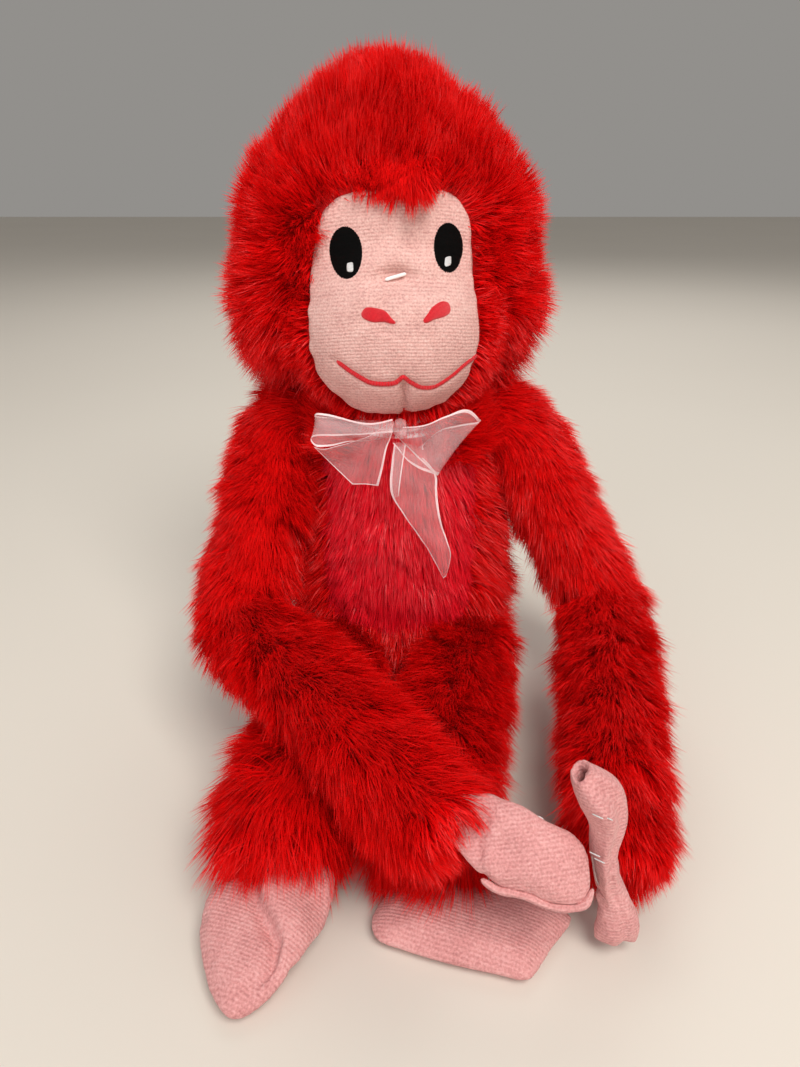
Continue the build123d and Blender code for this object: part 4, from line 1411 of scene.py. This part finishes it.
def make_bow():
    """The ribbon round the neck, its knot, two loops and two tails."""
    make_knot()
    ribbon(
        "bow_loop_cloth_right", LOOP_RIGHT_NEAR, LOOP_RIGHT_FAR, 80,
        (0.0105, 0.052), "bow_loop_right", seed=2, puff=4.0,
    )
    ribbon(
        "bow_tail_cloth_right", TAIL_RIGHT_NEAR, TAIL_RIGHT_FAR, 60,
        (0.019, 0.024), "bow_tail_right", seed=4, cut=TAIL_RIGHT_CUT,
    )
    ribbon(
        "bow_loop_cloth_left", LOOP_LEFT_NEAR, LOOP_LEFT_FAR, 90,
        (0.0135, 0.054), "bow_loop_left", seed=6, puff=3.0,
    )
    ribbon(
        "bow_tail_cloth_left", TAIL_LEFT_NEAR, TAIL_LEFT_FAR, 90,
        (0.0125, 0.056), "bow_tail_left", seed=8, puff=1.5, cut=TAIL_LEFT_CUT,
    )
    make_tail_fold()
    make_neck_ribbon()


def make_tail_fold():
    """A narrow strip of the long tail, folded over along its inner edge."""
    near = [(-1.5, 0, 111), (-3, -0.5, 104.5), (-3.5, -1, 97.5), (-2, -0.5, 92)]
    far = [(2, 0, 112), (1, -0.5, 105), (0, -1, 97.5), (-0.5, -1, 93.5)]
    rows, columns = 40, 10
    first, second = smooth_curve(from_knot(near), rows), smooth_curve(from_knot(far), rows)
    v = np.linspace(0, 1, columns)[None, :, None]
    points = (first[:, None] * (1 - v) + second[:, None] * v).reshape(-1, 3)
    uv = np.stack([np.repeat(np.linspace(0, 22, rows), columns), np.tile(v.ravel() * 4.5, rows)], 1)
    obj = new_mesh("bow_tail_fold_left", points, grid_faces(rows, columns), [ORGANZA, SATIN_EDGE], uv=uv)
    band = np.tile(np.arange(columns - 1), rows - 1)
    obj.data.polygons.foreach_set("material_index", (band == columns - 2).astype(np.int32))
    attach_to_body(obj, "torso")


def make_knot():
    """The knot: a crumpled turn of ribbon with folds running round it."""
    rows, columns = 40, 48
    middle = (KNOT_LOW + KNOT_HIGH) / 2 + np.array([2.0, -1.8, -0.6])
    polar, turn = np.meshgrid(np.linspace(0.001, np.pi - 0.001, rows), turns(columns), indexing="ij")
    direction = np.stack([np.sin(polar) * np.cos(turn), np.sin(polar) * np.sin(turn), np.cos(polar)], -1)
    size = np.array([2.8, 2.8, 3.8])
    pleat = 1 + 0.075 * np.sin(direction[..., 0] * 11.0 + 1.1 * direction[..., 2]) * np.sin(polar)
    pinch = 1 - 0.16 * np.exp(-((direction[..., 2] / 0.30) ** 2))
    shape = direction * size * (pleat * pinch)[..., None]
    points = (middle + np.sign(shape) * np.abs(shape) ** 0.92).reshape(-1, 3)
    uv = np.stack([(polar * 5.0).ravel(), (direction[..., 0] * 9.0).ravel()], 1)
    obj = new_mesh("ribbon_knot_cloth", points, grid_faces(rows, columns, wrap=True)[:, ::-1], [ORGANZA], uv=uv)
    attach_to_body(obj, "torso")
    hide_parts("ribbon_knot")


def make_neck_ribbon():
    """The ribbon's turn round the neck, gathered to half its width."""
    low, high = box_mm("neck_ribbon")
    rows, columns = 180, 16
    turn = turns(rows) - np.pi / 2
    v = np.linspace(0, 1, columns)[None]
    fold = 0.9 * np.sin(v * 3 * 2 * np.pi + 0.6 * np.sin(3 * turn)[:, None])
    reach_x = 27.5 + fold
    reach_y = 24.5 + fold
    x = reach_x * np.cos(turn)[:, None]
    y = reach_y * np.sin(turn)[:, None]
    z = low[2] + (high[2] - low[2]) * (0.1 + 0.8 * v) + 0.6 * np.sin(5 * turn)[:, None]
    points = np.stack([x, y, z], -1).reshape(-1, 3)
    row = np.arange(rows)[:, None] * columns
    after = (np.arange(rows)[:, None] + 1) % rows * columns
    column = np.arange(columns - 1)[None]
    faces = np.stack([row + column, after + column, after + column + 1, row + column + 1], -1).reshape(-1, 4)
    uv = np.stack([np.repeat(turn * 33.0, columns), np.tile(v.ravel() * 19.0, rows)], 1)
    obj = new_mesh("neck_ribbon_cloth", points, faces, [SATIN_EDGE], uv=uv)
    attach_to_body(obj, "torso")
    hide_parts("neck_ribbon")


# ---- filling ----
def hide_filling(cloths):
    """The filling lies inside its cloth and isn't seen: the cloth stands for it."""
    for cloth, filling in cloths.items():
        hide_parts(filling)


LIMBS = [f"{limb}_{side}" for limb in ("upper_arm", "forearm", "leg") for side in ("left", "right")]
FILLINGS = {"torso_cloth": "torso_stuffing", "hood_cloth": "head_stuffing"}
FILLINGS.update({f"{limb}_cloth": f"{limb}_stuffing" for limb in LIMBS})


# ---- the scene ----
def make_head():
    """The hood, its pile and all that the face carries."""
    points, faces, beyond = make_skull()
    hood = new_mesh("hood_cloth", points, faces, [BACKING])
    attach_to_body(hood, "head")
    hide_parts("head_fur_hood")
    make_head_pile(points, faces, beyond)
    make_forelock(points, faces)
    make_face()
    make_features()
    make_ears()


def make_stage():
    """A pale table, the camera where the photographer stood, and soft light from in front and above."""
    bpy.ops.mesh.primitive_plane_add(size=6.0, location=(0, 0, -0.0004))
    floor = bpy.context.object
    floor.name = "table_top"
    look = Look("table_paint", (0.66, 0.62, 0.57), 0.75)
    cloud = look.noise(look.own_place(), 3.0)
    look.paint(look.mixed(cloud, (0.70, 0.65, 0.58), (0.74, 0.69, 0.62)))
    floor.data.materials.append(look.made)
    camera_data = bpy.data.cameras.new("camera")
    camera_data.sensor_fit = "VERTICAL"
    camera_data.sensor_height = 36.0
    camera_data.lens = 27.09
    camera_data.dof.use_dof = False
    camera = bpy.data.objects.new("camera", camera_data)
    camera.location = (0.0, -0.300, 0.200)
    camera.rotation_euler = (math.radians(65), 0.0, 0.0)
    bpy.context.scene.collection.objects.link(camera)
    bpy.context.scene.camera = camera
    lamps = [
        ("key_light", (0.32, -0.72, 1.05), 0.6, 12.0, (1.0, 0.97, 0.92)),
        ("fill_light", (-0.45, -0.95, 0.45), 1.1, 4.2, (0.95, 0.97, 1.0)),
        ("back_light", (0.15, 0.80, 0.95), 1.0, 5.0, (1.0, 0.98, 0.95)),
    ]
    for name, place, size, power, colour in lamps:
        lamp = bpy.data.lights.new(name, "AREA")
        lamp.shape = "SQUARE"
        lamp.size = size
        lamp.energy = power
        lamp.color = colour
        obj = bpy.data.objects.new(name, lamp)
        obj.location = place
        obj.rotation_euler = (Vector((0, -0.03, 0.08)) - Vector(place)).to_track_quat("-Z", "Y").to_euler()
        bpy.context.scene.collection.objects.link(obj)
    world = bpy.data.worlds.new("room")
    world.use_nodes = True
    set_sockets(world.node_tree.nodes["Background"], Color=(0.80, 0.77, 0.73, 1.0), Strength=0.36)
    bpy.context.scene.world = world
    bpy.context.scene.view_settings.view_transform = "Standard"


make_torso()
make_label()
make_head()
for side, way, seed in (("left", 1, 100), ("right", -1, 200)):
    make_arm(side, way, seed)
    make_leg(side, seed + 50)
make_mitts()
make_feet()
make_patches()
make_bow()
hide_filling(FILLINGS)
make_stage()
